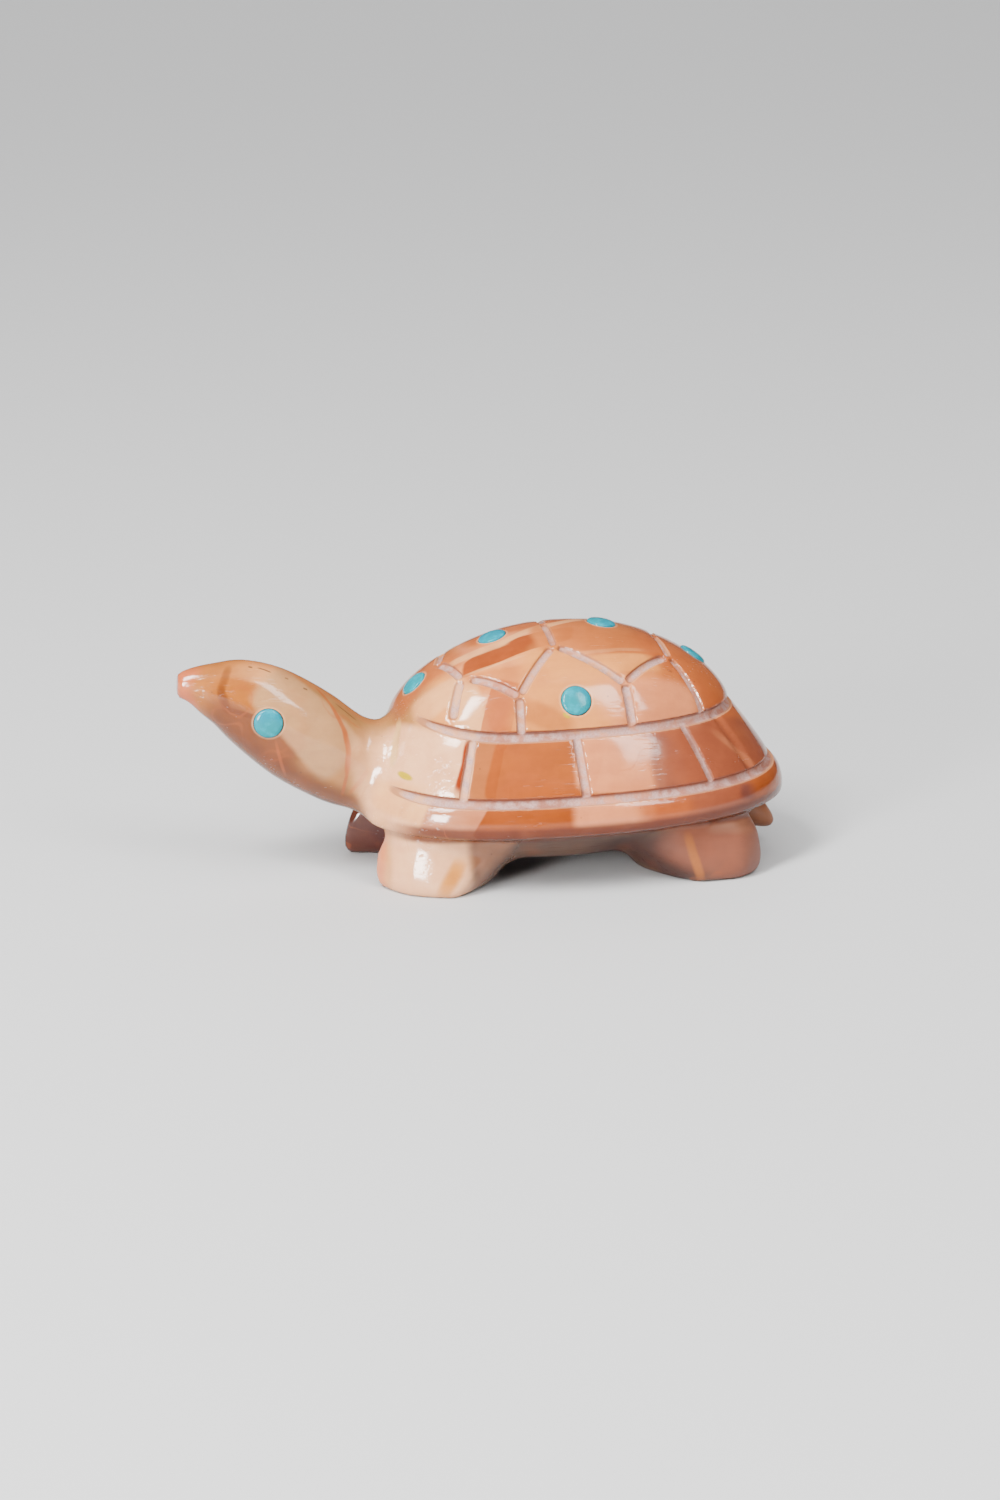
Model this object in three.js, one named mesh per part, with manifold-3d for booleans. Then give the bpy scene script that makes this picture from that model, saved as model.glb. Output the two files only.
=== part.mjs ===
// A turtle carved from one piece of banded stone, inlaid with turquoise dots. Millimetres, +Z up.
// It looks along -X, its left side is -Y, and its four feet stand on Z = 0.

import * as THREE from 'three';
import { mergeVertices } from 'three/addons/utils/BufferGeometryUtils.js';
import Module from 'manifold-3d';

const wasm = await Module();
wasm.setup();

// The whole carving, from snout to the back of the shell
const carvingLength = 67.2;

// The shell in plan: an oval rim, a ledge inside it, a band between two ring grooves, and the dome
const shellLength = 48;
const shellWidth = 30.4;
const rimLedge = 0.9;
const bandSideWidth = 2.9;
const bandEndWidth = 3.7;
const domeLead = 1;
const ovalPower = 2.35;

// The shell in height, stacked from the ground up to the top of the dome
const bellyHeight = 2.6;
const bellyDepth = 5.9;
const rimRise = 2.5;
const bandRise = 6.6;
const domeRise = 9.5;
const bandSwell = 0.18;
const domePower = 1.9;
const domeFlatness = 0.67;
const shellTilt = 1;

// The underside and rim, from the belly outwards: [share of the shell's width, height from the belly's level
// at 0 to the widest line's at 1]. The rim's upper side goes on to the lower ring: the same, from 1 up to 2.
const underside = [[0.5, 0], [0.8, 0.576], [0.93, 0.729], [0.98, 0.788], [1, 0.915]];
const rimUpperSide = [[0.995, 1.2], [0.975, 1.6]];

// The head and neck. A station is a share of the reach from the shell's middle to the snout, a share of the
// rise from the neck's root to the snout, and a share of the throat's depth.
const throatDepth = 11;
const throatWidth = 9.2;
const neckRootRise = 2;
const headRise = 11.85;
const headStations = [
  [0.996, 1, 0.236],
  [0.957, 0.987, 0.391],
  [0.912, 0.941, 0.564],
  [0.85, 0.861, 0.773],
  [0.778, 0.709, 0.927],
  [0.685, 0.456, 1],
  [0.593, 0.228, 0.945],
  [0.512, 0.118, 0.945],
  [0.37, 0, 1.018],
];

// Feet seen from above: outline points [forward of the shell's middle, out from the middle plane], as shares of
// the shell's half length and half width
const forefootOutline = [
  [0.883, 0.303],
  [0.942, 0.579],
  [0.771, 0.678],
  [0.583, 0.651],
  [0.383, 0.368],
  [0.583, 0.197],
];
const hindfootOutline = [
  [-0.25, 0.329],
  [-0.375, 0.658],
  [-0.5, 0.816],
  [-0.708, 0.803],
  [-0.817, 0.658],
  [-0.775, 0.382],
  [-0.542, 0.197],
];
// How much further forward the right forefoot stands than the left
const rightForefootLead = 1.5;
// Levels of a leg, each [height as a share of the leg's, share of the foot's outline]
const legTopDrop = 0.5;
const legLevels = [[0, 0.88], [0.05, 0.965], [0.14, 1], [0.33, 1], [0.53, 0.95], [0.7, 0.9], [1, 0.62]];

// The tail: a short cone that droops from under the rim
const tailWidth = 5.8;
const tailDepthShare = 1;
const tailReach = 6.7;
const tailInset = 0.3;
const tailRootDrop = 1.5;
const tailTipHeight = 2.2;

// Grooves cut with a small wheel: round-bottomed, and shallower at both ends
const ringGrooveWidth = 1;
const ringGrooveDepth = 0.4;
const scuteGrooveWidth = 0.9;
const scuteGrooveDepth = 0.35;
const grooveRunOut = 1.4;
const ringGap = 24;

// Corners of the scutes on the dome, for one side: shares of the upper ring's half length and half width
const scuteCorners = {
  frontMiddle: [-0.72, 0],
  front: [-0.64, 0.45],
  frontFoot: [-0.72, 0.71],
  firstNotch: [-0.34, 0.8],
  firstFoot: [-0.35, 0.97],
  peak: [-0.09, 0.42],
  peakMiddle: [-0.1, 0],
  secondNotch: [0.28, 0.78],
  secondFoot: [0.3, 0.98],
  back: [0.59, 0.42],
  backMiddle: [0.56, 0],
  backFoot: [0.75, 0.74],
};
const scuteLines = [
  ['front', 'frontMiddle'],
  ['front', 'frontFoot'],
  ['front', 'firstNotch'],
  ['firstNotch', 'firstFoot'],
  ['firstNotch', 'peak'],
  ['peak', 'peakMiddle'],
  ['peak', 'secondNotch'],
  ['secondNotch', 'secondFoot'],
  ['secondNotch', 'back'],
  ['back', 'backMiddle'],
  ['back', 'backFoot'],
];

// Cross grooves on the band, for one side: angles from the tail in degrees
const bandCuts = [38, 55, 92, 126, 163];

// Turquoise inlays: round plugs with a low crown, in flat-bottomed sockets
const eyeDiameter = 3.1;
const dotDiameter = 3.2;
const inlayDepth = 1.3;
const inlayCrown = 0.4;
const inlayEdge = 0.12;
const inlayClearance = 0.25;
const eyeStation = 0.495;
const eyeLean = 94;
const middleDots = [-0.86, -0.4, 0.25, 0.8];
const sideDot = [-0.02, 0.88];

// Facets
const shellSides = 50;
const domeSteps = 8;
const headSides = 20;
const headRings = 15;
const legSides = 18;
const tailSides = 12;
const tailRings = 8;
const grooveArc = 4;
const ringSteps = 36;
const scuteSteps = 3;
const inlaySides = 16;
const crownSteps = 3;

// How close two corners of a unit form are when they are one, and how far apart a slope is read
const mergeGap = 1e-4;
const slopeStep = 0.01;

const halfLength = shellLength / 2;
const halfWidth = shellWidth / 2;
const shellMiddle = carvingLength / 2 - halfLength;
const headReach = carvingLength - halfLength;
const lowerRingShare = 1 - rimLedge / halfWidth;
const upperRingShare = lowerRingShare - bandSideWidth / halfWidth;
const domeStretch = (lowerRingShare - bandEndWidth / halfLength) / upperRingShare;
const rimHeight = bellyHeight + bellyDepth;
const lowerRingHeight = rimHeight + rimRise;
const upperRingHeight = lowerRingHeight + bandRise;

// A closed geometry with each of its corners moved by a function
function shaped(geometry, place) {
  geometry.deleteAttribute('normal');
  geometry.deleteAttribute('uv');
  const merged = mergeVertices(geometry, mergeGap);
  const corners = merged.attributes.position;
  const corner = new THREE.Vector3();
  for (let i = 0; i < corners.count; i += 1) {
    corner.fromBufferAttribute(corners, i);
    place(corner);
    corners.setXYZ(i, corner.x, corner.y, corner.z);
  }
  return merged;
}

// Six times the volume that a closed geometry's faces enclose, negative where they point inwards
function enclosed(geometry) {
  const corners = geometry.attributes.position;
  const order = geometry.index.array;
  const [a, b, c] = [new THREE.Vector3(), new THREE.Vector3(), new THREE.Vector3()];
  let sum = 0;
  for (let i = 0; i < order.length; i += 3) {
    a.fromBufferAttribute(corners, order[i]);
    b.fromBufferAttribute(corners, order[i + 1]);
    c.fromBufferAttribute(corners, order[i + 2]);
    sum += a.dot(b.cross(c));
  }
  return sum;
}

// A closed geometry as a solid for joining and cutting, its faces turned to point outwards
function solidOf(geometry) {
  const triVerts = new Uint32Array(geometry.index.array);
  if (enclosed(geometry) < 0) {
    for (let i = 0; i < triVerts.length; i += 3) {
      [triVerts[i], triVerts[i + 1]] = [triVerts[i + 1], triVerts[i]];
    }
  }
  const vertProperties = new Float32Array(geometry.attributes.position.array);
  return new wasm.Manifold(new wasm.Mesh({ numProp: 3, vertProperties, triVerts }));
}

function geometryOf(solid) {
  const mesh = solid.getMesh();
  const geometry = new THREE.BufferGeometry();
  geometry.setAttribute('position', new THREE.BufferAttribute(mesh.vertProperties, 3));
  geometry.setIndex(new THREE.BufferAttribute(mesh.triVerts, 1));
  geometry.computeVertexNormals();
  return geometry;
}

function mirrored(geometry) {
  return geometry.clone().scale(1, -1, 1);
}

// The shell's surface: a point for a share of the rim's size, 1 at the rim, and an angle, 0 at the tail.
// The shell leans a little, its back higher than its front.
function shellPoint(share, angle, height = shellHeight(share)) {
  const c = Math.cos(angle);
  const s = Math.sin(angle);
  const reach = Math.pow(Math.pow(Math.abs(c), ovalPower) + Math.pow(Math.abs(s), ovalPower), -1 / ovalPower);
  const raised = Math.min((1 - share) / (1 - upperRingShare), 1);
  const length = halfLength * share * THREE.MathUtils.lerp(1, domeStretch, raised);
  const x = shellMiddle - domeLead * raised + length * reach * c;
  const lift = (x - shellMiddle) * Math.tan(THREE.MathUtils.degToRad(shellTilt));
  return new THREE.Vector3(x, halfWidth * share * reach * s, height + lift);
}

// The shell's height at a share of the rim's size, above the lower ring groove
function shellHeight(share) {
  if (share > upperRingShare) {
    const part = (share - upperRingShare) / (lowerRingShare - upperRingShare);
    return upperRingHeight - bandRise * part + bandSwell * Math.sin(Math.PI * part);
  }
  return upperRingHeight + domeRise * Math.pow(1 - Math.pow(share / upperRingShare, domePower), domeFlatness);
}

function shellProfile() {
  const profile = [new THREE.Vector2(0, bellyHeight)];
  for (const [share, height] of underside) {
    profile.push(new THREE.Vector2(share, bellyHeight + bellyDepth * height));
  }
  for (const [share, height] of rimUpperSide) {
    profile.push(new THREE.Vector2(share, rimHeight + rimRise * (height - 1)));
  }
  profile.push(new THREE.Vector2(lowerRingShare, lowerRingHeight));
  const bandShare = (lowerRingShare + upperRingShare) / 2;
  profile.push(new THREE.Vector2(bandShare, shellHeight(bandShare)));
  for (let i = 0; i < domeSteps; i += 1) {
    const share = upperRingShare * Math.cos((i / domeSteps) * Math.PI / 2);
    profile.push(new THREE.Vector2(share, shellHeight(share)));
  }
  profile.push(new THREE.Vector2(0, shellHeight(0)));
  return profile;
}

function shellGeometry() {
  const lathe = new THREE.LatheGeometry(shellProfile(), shellSides);
  return shaped(lathe, (corner) => {
    const share = Math.hypot(corner.x, corner.z);
    corner.copy(shellPoint(share, Math.atan2(corner.x, corner.z), corner.y));
  });
}

// A spot on the dome, from shares of the upper ring's half length and half width
function domeSpot([along, out]) {
  const reach = Math.pow(Math.abs(along), ovalPower) + Math.pow(Math.abs(out), ovalPower);
  return { share: upperRingShare * Math.pow(reach, 1 / ovalPower), angle: Math.atan2(out, along) };
}

// A spot's point on the shell and the direction straight out of the stone there
function shellSeat({ share, angle }) {
  const outward = shellPoint(share + slopeStep, angle).sub(shellPoint(share - slopeStep, angle));
  const around = shellPoint(share, angle + slopeStep).sub(shellPoint(share, angle - slopeStep));
  return { point: shellPoint(share, angle), normal: outward.cross(around).normalize() };
}

// The solid that cuts a groove along a row of spots: a rod that lies in the surface and rises out at both ends
function grooveCutter(spots, width, depth) {
  const radius = (width * width / 4 + depth * depth) / (2 * depth);
  const seats = spots.map(shellSeat);
  const lengths = [0];
  for (let i = 1; i < seats.length; i += 1) {
    lengths.push(lengths[i - 1] + seats[i].point.distanceTo(seats[i - 1].point));
  }
  const total = lengths[lengths.length - 1];
  const runOut = Math.min(grooveRunOut, total / 2);
  const route = seats.map(({ point, normal }, i) => {
    const fromEnd = Math.min(lengths[i], total - lengths[i]) / runOut;
    const rise = depth * Math.pow(1 - Math.min(fromEnd, 1), 2);
    return point.clone().addScaledVector(normal, radius - depth + rise);
  });
  const section = new THREE.Shape().absarc(0, 0, radius, 0, Math.PI * 2);
  const rod = new THREE.ExtrudeGeometry(section, {
    steps: seats.length - 1,
    curveSegments: grooveArc,
    bevelEnabled: false,
    extrudePath: new THREE.CatmullRomCurve3(route),
  });
  return solidOf(shaped(rod, () => {}));
}

// Spots evenly spaced between two ends
function spotsBetween(count, spotAt) {
  return Array.from({ length: count + 1 }, (_, i) => spotAt(i / count));
}

function shellGrooves() {
  const grooves = [];
  for (const share of [lowerRingShare, upperRingShare]) {
    const open = Math.PI - THREE.MathUtils.degToRad(ringGap);
    const spots = spotsBetween(ringSteps, (t) => ({ share, angle: THREE.MathUtils.lerp(-open, open, t) }));
    grooves.push(grooveCutter(spots, ringGrooveWidth, ringGrooveDepth));
  }
  for (const side of [1, -1]) {
    for (const [from, to] of scuteLines) {
      const [a, b] = [scuteCorners[from], scuteCorners[to]];
      const spots = spotsBetween(scuteSteps, (t) => {
        const along = THREE.MathUtils.lerp(a[0], b[0], t);
        return domeSpot([along, side * THREE.MathUtils.lerp(a[1], b[1], t)]);
      });
      grooves.push(grooveCutter(spots, scuteGrooveWidth, scuteGrooveDepth));
    }
    for (const degrees of bandCuts) {
      const angle = side * THREE.MathUtils.degToRad(degrees);
      const spots = spotsBetween(scuteSteps, (t) => {
        return { share: THREE.MathUtils.lerp(upperRingShare, lowerRingShare, t), angle };
      });
      grooves.push(grooveCutter(spots, scuteGrooveWidth, scuteGrooveDepth));
    }
  }
  return grooves;
}

// The head and neck: a point for a share of the way from the snout into the shell, and an angle from the top
const neckRootHeight = rimHeight + neckRootRise;
const headSpine = new THREE.CatmullRomCurve3(
  headStations.map(([along, rise]) => {
    return new THREE.Vector3(shellMiddle - along * headReach, 0, neckRootHeight + rise * headRise);
  }),
);
const headDepths = new THREE.SplineCurve(
  headStations.map(([, , depth], i) => new THREE.Vector2(i, depth * throatDepth / 2)),
);
const across = new THREE.Vector3(0, 1, 0);

function headPoint(along, around, reach = 1) {
  const up = new THREE.Vector3().crossVectors(headSpine.getTangent(along), across).normalize();
  const depth = headDepths.getPoint(along).y * reach;
  const width = depth * throatWidth / throatDepth;
  const point = headSpine.getPoint(along);
  point.addScaledVector(up, depth * Math.cos(around));
  return point.addScaledVector(across, width * Math.sin(around));
}

function headGeometry() {
  const sleeve = new THREE.CylinderGeometry(1, 1, 1, headSides, headRings);
  return shaped(sleeve, (corner) => {
    corner.copy(headPoint(0.5 - corner.y, Math.atan2(corner.z, corner.x), Math.hypot(corner.x, corner.z)));
  });
}

// The seat of an eye, side 1 or -1
function eyeSeat(side) {
  const around = side * THREE.MathUtils.degToRad(eyeLean);
  const back = headPoint(eyeStation + slopeStep, around).sub(headPoint(eyeStation - slopeStep, around));
  const turn = headPoint(eyeStation, around + slopeStep).sub(headPoint(eyeStation, around - slopeStep));
  return { point: headPoint(eyeStation, around), normal: back.cross(turn).normalize() };
}

// A left leg: the foot's outline drawn in at the waist and buried in the belly
function legGeometry(outline, lead = 0) {
  const points = outline.map(([forward, out]) => {
    return new THREE.Vector3(shellMiddle - forward * halfLength - lead, -out * halfWidth, 0);
  });
  const foot = new THREE.CatmullRomCurve3(points, true);
  const middle = points.reduce((sum, p) => sum.add(p), new THREE.Vector3()).divideScalar(points.length);
  const legHeight = rimHeight - legTopDrop;
  const column = new THREE.CylinderGeometry(1, 1, 1, legSides, legLevels.length - 1);
  return shaped(column, (corner) => {
    const [height, size] = legLevels[Math.round((corner.y + 0.5) * (legLevels.length - 1))];
    const around = (Math.atan2(corner.z, corner.x) / (2 * Math.PI) + 1) % 1;
    const edge = foot.getPoint(around).sub(middle);
    const share = Math.hypot(corner.x, corner.z) * size;
    corner.set(middle.x + edge.x * share, middle.y + edge.y * share, legHeight * height);
  });
}

function tailGeometry() {
  const back = shellMiddle + halfLength - tailInset;
  const tip = new THREE.Vector3(back, 0, tailTipHeight);
  const root = new THREE.Vector3(back - tailReach, 0, rimHeight - tailRootDrop);
  const run = tip.clone().sub(root);
  const up = new THREE.Vector3().crossVectors(run, across).normalize();
  const ball = new THREE.SphereGeometry(1, tailSides, tailRings);
  return shaped(ball, (corner) => {
    const along = (corner.y + 1) / 2;
    const taper = Math.sqrt(1 - along) * Math.min(1, 2 * Math.sqrt(along));
    const around = Math.atan2(corner.z, corner.x);
    corner.copy(root).addScaledVector(run, along);
    corner.addScaledVector(across, tailWidth / 2 * taper * Math.cos(around));
    corner.addScaledVector(up, tailWidth / 2 * tailDepthShare * taper * Math.sin(around));
  });
}

// A round piece from its outline, [radius, height] from the bottom up, stood on a seat
function seated(outline, { point, normal }) {
  const profile = outline.map(([radius, height]) => new THREE.Vector2(radius, height));
  const lathe = new THREE.LatheGeometry(profile, inlaySides);
  const turn = new THREE.Quaternion().setFromUnitVectors(across, normal);
  return shaped(lathe, (corner) => corner.applyQuaternion(turn).add(point));
}

function inlayOutline(diameter) {
  const radius = diameter / 2 - inlayClearance;
  const outline = [[0, -inlayDepth], [radius, -inlayDepth]];
  for (let i = 0; i < crownSteps; i += 1) {
    const angle = (i / crownSteps) * Math.PI / 2;
    outline.push([radius * Math.cos(angle), inlayEdge + (inlayCrown - inlayEdge) * Math.sin(angle)]);
  }
  outline.push([0, inlayCrown]);
  return outline;
}

function socketOutline(diameter) {
  const floor = -inlayDepth - inlayClearance;
  const open = inlayCrown + inlayClearance;
  return [[0, floor], [diameter / 2, floor], [diameter / 2, open], [0, open]];
}

const inlays = [];
for (const [name, side] of [['left', -1], ['right', 1]]) {
  inlays.push({ name: `eye_${name}`, diameter: eyeDiameter, seat: eyeSeat(side) });
  const spot = domeSpot([sideDot[0], side * sideDot[1]]);
  inlays.push({ name: `shell_dot_${name}`, diameter: dotDiameter, seat: shellSeat(spot) });
}
middleDots.forEach((along, i) => {
  inlays.push({ name: `shell_dot_${i + 1}`, diameter: dotDiameter, seat: shellSeat(domeSpot([along, 0])) });
});

function carving() {
  const hindLeg = legGeometry(hindfootOutline);
  const leftLegs = [legGeometry(forefootOutline), hindLeg];
  const rightLegs = [legGeometry(forefootOutline, rightForefootLead), hindLeg].map(mirrored);
  let stone = solidOf(shellGeometry());
  for (const groove of shellGrooves()) {
    stone = stone.subtract(groove);
  }
  for (const limb of [headGeometry(), tailGeometry(), ...leftLegs, ...rightLegs]) {
    stone = stone.add(solidOf(limb));
  }
  for (const { diameter, seat } of inlays) {
    stone = stone.subtract(solidOf(seated(socketOutline(diameter), seat)));
  }
  return geometryOf(stone);
}

const stoneLook = new THREE.MeshStandardMaterial({ color: 0xc98a63, roughness: 0.25, metalness: 0 });
const turquoiseLook = new THREE.MeshStandardMaterial({ color: 0x64cdd2, roughness: 0.3, metalness: 0 });

const turtle = new THREE.Group();

function addPiece(name, geometry, look) {
  const piece = new THREE.Mesh(geometry, look);
  piece.name = name;
  turtle.add(piece);
}

addPiece('turtle_carving', carving(), stoneLook);
for (const { name, diameter, seat } of inlays) {
  addPiece(name, geometryOf(solidOf(seated(inlayOutline(diameter), seat))), turquoiseLook);
}

// The origin is on the ground below the middle of the whole
const box = new THREE.Box3().setFromObject(turtle);
turtle.position.set(-(box.min.x + box.max.x) / 2, -(box.min.y + box.max.y) / 2, -box.min.z);

export default turtle;
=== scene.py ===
import math

import bmesh
import bpy
import numpy as np
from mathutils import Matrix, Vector, noise
from mathutils.bvhtree import BVHTree


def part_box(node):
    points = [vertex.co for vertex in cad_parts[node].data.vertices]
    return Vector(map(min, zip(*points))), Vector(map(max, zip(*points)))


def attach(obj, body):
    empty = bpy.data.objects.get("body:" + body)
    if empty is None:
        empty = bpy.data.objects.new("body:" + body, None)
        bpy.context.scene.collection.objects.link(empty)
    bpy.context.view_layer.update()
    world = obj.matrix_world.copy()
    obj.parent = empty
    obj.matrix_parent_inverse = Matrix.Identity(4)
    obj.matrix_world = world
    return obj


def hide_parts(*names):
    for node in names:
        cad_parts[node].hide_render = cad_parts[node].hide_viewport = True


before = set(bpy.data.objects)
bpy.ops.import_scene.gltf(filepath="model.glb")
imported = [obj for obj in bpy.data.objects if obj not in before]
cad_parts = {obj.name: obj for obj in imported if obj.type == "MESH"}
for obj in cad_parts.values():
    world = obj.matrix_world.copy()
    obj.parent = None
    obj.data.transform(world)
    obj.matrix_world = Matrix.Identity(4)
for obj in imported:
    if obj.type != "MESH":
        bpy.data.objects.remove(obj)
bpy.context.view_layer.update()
bpy.ops.object.select_all(action="DESELECT")

mm = 0.001
sideways = Vector((0, 1, 0))
stoneLow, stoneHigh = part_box("turtle_carving")


# the frame's own axes: the head looks along -X, the photographed left side is -Y, and the feet are on Z = 0

print("camera, floor and light")

photoView = {
    "turn": 12,  # degrees round from square on to the left side, towards the head
    "height": 17,  # degrees above the horizon
    "distance": 450 * mm,
    "lookAt": Vector((1.95, 0, 12.8)) * mm,
    "lens": 98.2,
    "nearest": 10 * mm,  # what is closer to the camera isn't drawn
}


def wayFrom(turn, height):
    # the way out from the object to something turned round it from the left side, in degrees
    turn, height = math.radians(turn), math.radians(height)
    flat = math.cos(height)
    return Vector((math.sin(turn) * flat, -math.cos(turn) * flat, math.sin(height)))


def addCamera():
    way = wayFrom(-photoView["turn"], photoView["height"])
    bpy.ops.object.camera_add(location=photoView["lookAt"] + way * photoView["distance"])
    camera = bpy.context.object
    camera.rotation_euler = (-way).to_track_quat("-Z", "Y").to_euler()
    camera.data.lens = photoView["lens"]
    camera.data.clip_start = photoView["nearest"]
    bpy.context.scene.camera = camera


softLights = {
    # degrees round and up, distance, width and height, watts, and whether the polish mirrors it
    "left soft box": (-52, 48, 0.60, (0.12, 0.28), 6.5, True),
    "low left soft box": (-46, 11, 0.60, (0.11, 0.20), 5.9, True),
    "right soft box": (31, 44, 0.70, (0.16, 0.36), 3.0, True),
    "ceiling cloth": (-8, 64, 1.20, (1.20, 1.20), 16.0, False),
    "far side cloth": (172, 38, 1.20, (1.00, 1.00), 9.0, False),
}
room = {"colour": (0.86, 0.88, 0.92, 1), "strength": 0.15}
floorLook = {"size": 6, "colour": (0.52, 0.52, 0.52, 1), "roughness": 0.9}


def addLights():
    for name, (turn, up, away, size, power, mirrored) in softLights.items():
        way = wayFrom(turn, up)
        bpy.ops.object.light_add(type="AREA", location=photoView["lookAt"] + way * away)
        lamp = bpy.context.object
        lamp.name = name
        lamp.rotation_euler = way.to_track_quat("Z", "Y").to_euler()
        lamp.data.shape = "RECTANGLE"
        lamp.data.size, lamp.data.size_y = size
        lamp.data.energy = power
        lamp.visible_glossy = mirrored
        lamp.visible_camera = False
    world = bpy.data.worlds.new("dim room")
    world.use_nodes = True
    air = world.node_tree.nodes["Background"].inputs
    air["Color"].default_value = room["colour"]
    air["Strength"].default_value = room["strength"]
    bpy.context.scene.world = world


def newMaterial(name):
    material = bpy.data.materials.new(name)
    material.use_nodes = True
    return material, material.node_tree.nodes["Principled BSDF"]


def addFloor():
    bpy.ops.mesh.primitive_plane_add(size=floorLook["size"], location=(0, 0, 0))
    floor = bpy.context.object
    floor.name = "pale_floor"
    paper, shader = newMaterial("pale paper")
    shader.inputs["Base Color"].default_value = floorLook["colour"]
    shader.inputs["Roughness"].default_value = floorLook["roughness"]
    floor.data.materials.append(paper)


addCamera()
addLights()
addFloor()


print("forms of the carving")

shell = {
    "halfLength": 24 * mm,
    "halfWidth": 15.2 * mm,
    "rimLedge": 0.9 * mm,
    "bandSideWidth": 2.9 * mm,
    "bandEndWidth": 3.7 * mm,
    "domeLead": 1 * mm,
    "ovalPower": 2.35,
    "lowerRing": 11 * mm,
    "upperRing": 17.6 * mm,
    "domeRise": 9.5 * mm,
    "bandSwell": 0.18 * mm,
    "domePower": 1.9,
    "domeFlatness": 0.67,
    "tilt": 1,  # degrees, the back higher than the front
    # share of the width and height, from the middle of the belly out and up to the lower ring
    "edge": [(0.02, 2.55), (0.25, 2.55), (0.5, 2.6), (0.66, 4.2), (0.8, 6), (0.93, 6.95), (0.975, 7.15),
             (0.996, 7.45), (1, 8), (0.995, 9), (0.978, 10.1)],
    "edgeSteps": 24,
    "bandSteps": 8,
    "domeSteps": 22,
    "sides": 96,
}
shell["middle"] = stoneHigh.x - shell["halfLength"]
shell["lowerShare"] = 1 - shell["rimLedge"] / shell["halfWidth"]
shell["upperShare"] = shell["lowerShare"] - shell["bandSideWidth"] / shell["halfWidth"]
shell["domeStretch"] = shell["lowerShare"] - shell["bandEndWidth"] / shell["halfLength"]
shell["domeStretch"] /= shell["upperShare"]


def shellHeight(share):
    upper, lower = shell["upperShare"], shell["lowerShare"]
    if share > upper:
        part = (share - upper) / (lower - upper)
        fall = (shell["upperRing"] - shell["lowerRing"]) * part
        return shell["upperRing"] - fall + shell["bandSwell"] * math.sin(math.pi * part)
    crown = max(1 - (share / upper) ** shell["domePower"], 0)
    return shell["upperRing"] + shell["domeRise"] * crown ** shell["domeFlatness"]


def shellPoint(share, angle, height=None):
    # a point of the shell: a share of the rim's size and an angle from the tail
    c, s = math.cos(angle), math.sin(angle)
    power = shell["ovalPower"]
    reach = (abs(c) ** power + abs(s) ** power) ** (-1 / power)
    raised = min((1 - share) / (1 - shell["upperShare"]), 1)
    length = shell["halfLength"] * share * (1 + (shell["domeStretch"] - 1) * raised)
    x = shell["middle"] - shell["domeLead"] * raised + length * reach * c
    lift = (x - shell["middle"]) * math.tan(math.radians(shell["tilt"]))
    z = (shellHeight(share) if height is None else height) + lift
    return Vector((x, shell["halfWidth"] * share * reach * s, z))


def domeSpot(along, out):
    # shares of the upper ring's half length and half width, as a share and an angle
    power = shell["ovalPower"]
    share = shell["upperShare"] * (abs(along) ** power + abs(out) ** power) ** (1 / power)
    return share, math.atan2(out, along)


def catmullRom(points, at):
    # a smooth run through points of any number of values, at 0 for the first and 1 for the last
    points = [np.array(p, float) for p in points]
    place = min(max(at, 0), 1) * (len(points) - 1)
    i = min(int(place), len(points) - 2)
    t = place - i
    a = points[i - 1] if i > 0 else 2 * points[0] - points[1]
    b, c = points[i], points[i + 1]
    d = points[i + 2] if i + 2 < len(points) else 2 * points[-1] - points[-2]
    square, cube = 2 * a - 5 * b + 4 * c - d, 3 * b - a - 3 * c + d
    return 0.5 * (2 * b + (c - a) * t + square * t ** 2 + cube * t ** 3)


def shellRings():
    profile = []
    for i in range(shell["edgeSteps"] + 1):
        share, height = catmullRom(shell["edge"], i / shell["edgeSteps"])
        profile.append((share, height * mm))
    lower, upper = shell["lowerShare"], shell["upperShare"]
    for i in range(shell["bandSteps"] + 1):
        share = lower + (upper - lower) * i / shell["bandSteps"]
        profile.append((share, shellHeight(share)))
    for i in range(1, shell["domeSteps"]):
        share = upper * math.cos(i / shell["domeSteps"] * math.pi / 2)
        profile.append((share, shellHeight(share)))
    turns = [math.tau * i / shell["sides"] for i in range(shell["sides"])]
    return [[shellPoint(share, turn, height) for turn in turns] for share, height in profile]


head = {
    "reach": shell["middle"] - stoneLow.x,
    "rootHeight": 10.5 * mm,
    "rise": 11.85 * mm,
    "throatDepth": 11 * mm,
    "throatWidth": 9.2 * mm,
    # shares of the reach from the shell's middle to the snout, of the rise, and of the throat's depth
    "stations": [(1, 1, 0.236), (0.957, 0.987, 0.391), (0.912, 0.941, 0.564), (0.85, 0.861, 0.773),
                 (0.778, 0.709, 0.927), (0.685, 0.456, 1), (0.593, 0.228, 0.945), (0.512, 0.118, 0.945),
                 (0.37, 0, 1.018)],
    "cap": (0.5, 0.93),  # shares of the snout's disc
    "runStep": 0.01,
    "rings": 36,
    "sides": 48,
}


def headPoint(along, around, reach=1):
    # a point of the head: along from the snout to the neck's root, around from the top, reach from the spine
    spine = [(shell["middle"] - share * head["reach"], head["rootHeight"] + rise * head["rise"], depth)
             for share, rise, depth in head["stations"]]
    x, z, depth = catmullRom(spine, along)
    ahead = catmullRom(spine, min(along + head["runStep"], 1))
    behind = catmullRom(spine, max(along - head["runStep"], 0))
    run = Vector((ahead[0] - behind[0], 0, ahead[1] - behind[1])).normalized()
    up = run.cross(sideways)
    tall = depth * head["throatDepth"] / 2 * reach
    wide = tall * head["throatWidth"] / head["throatDepth"]
    return Vector((x, 0, z)) + up * tall * math.cos(around) + sideways * wide * math.sin(around)


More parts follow.
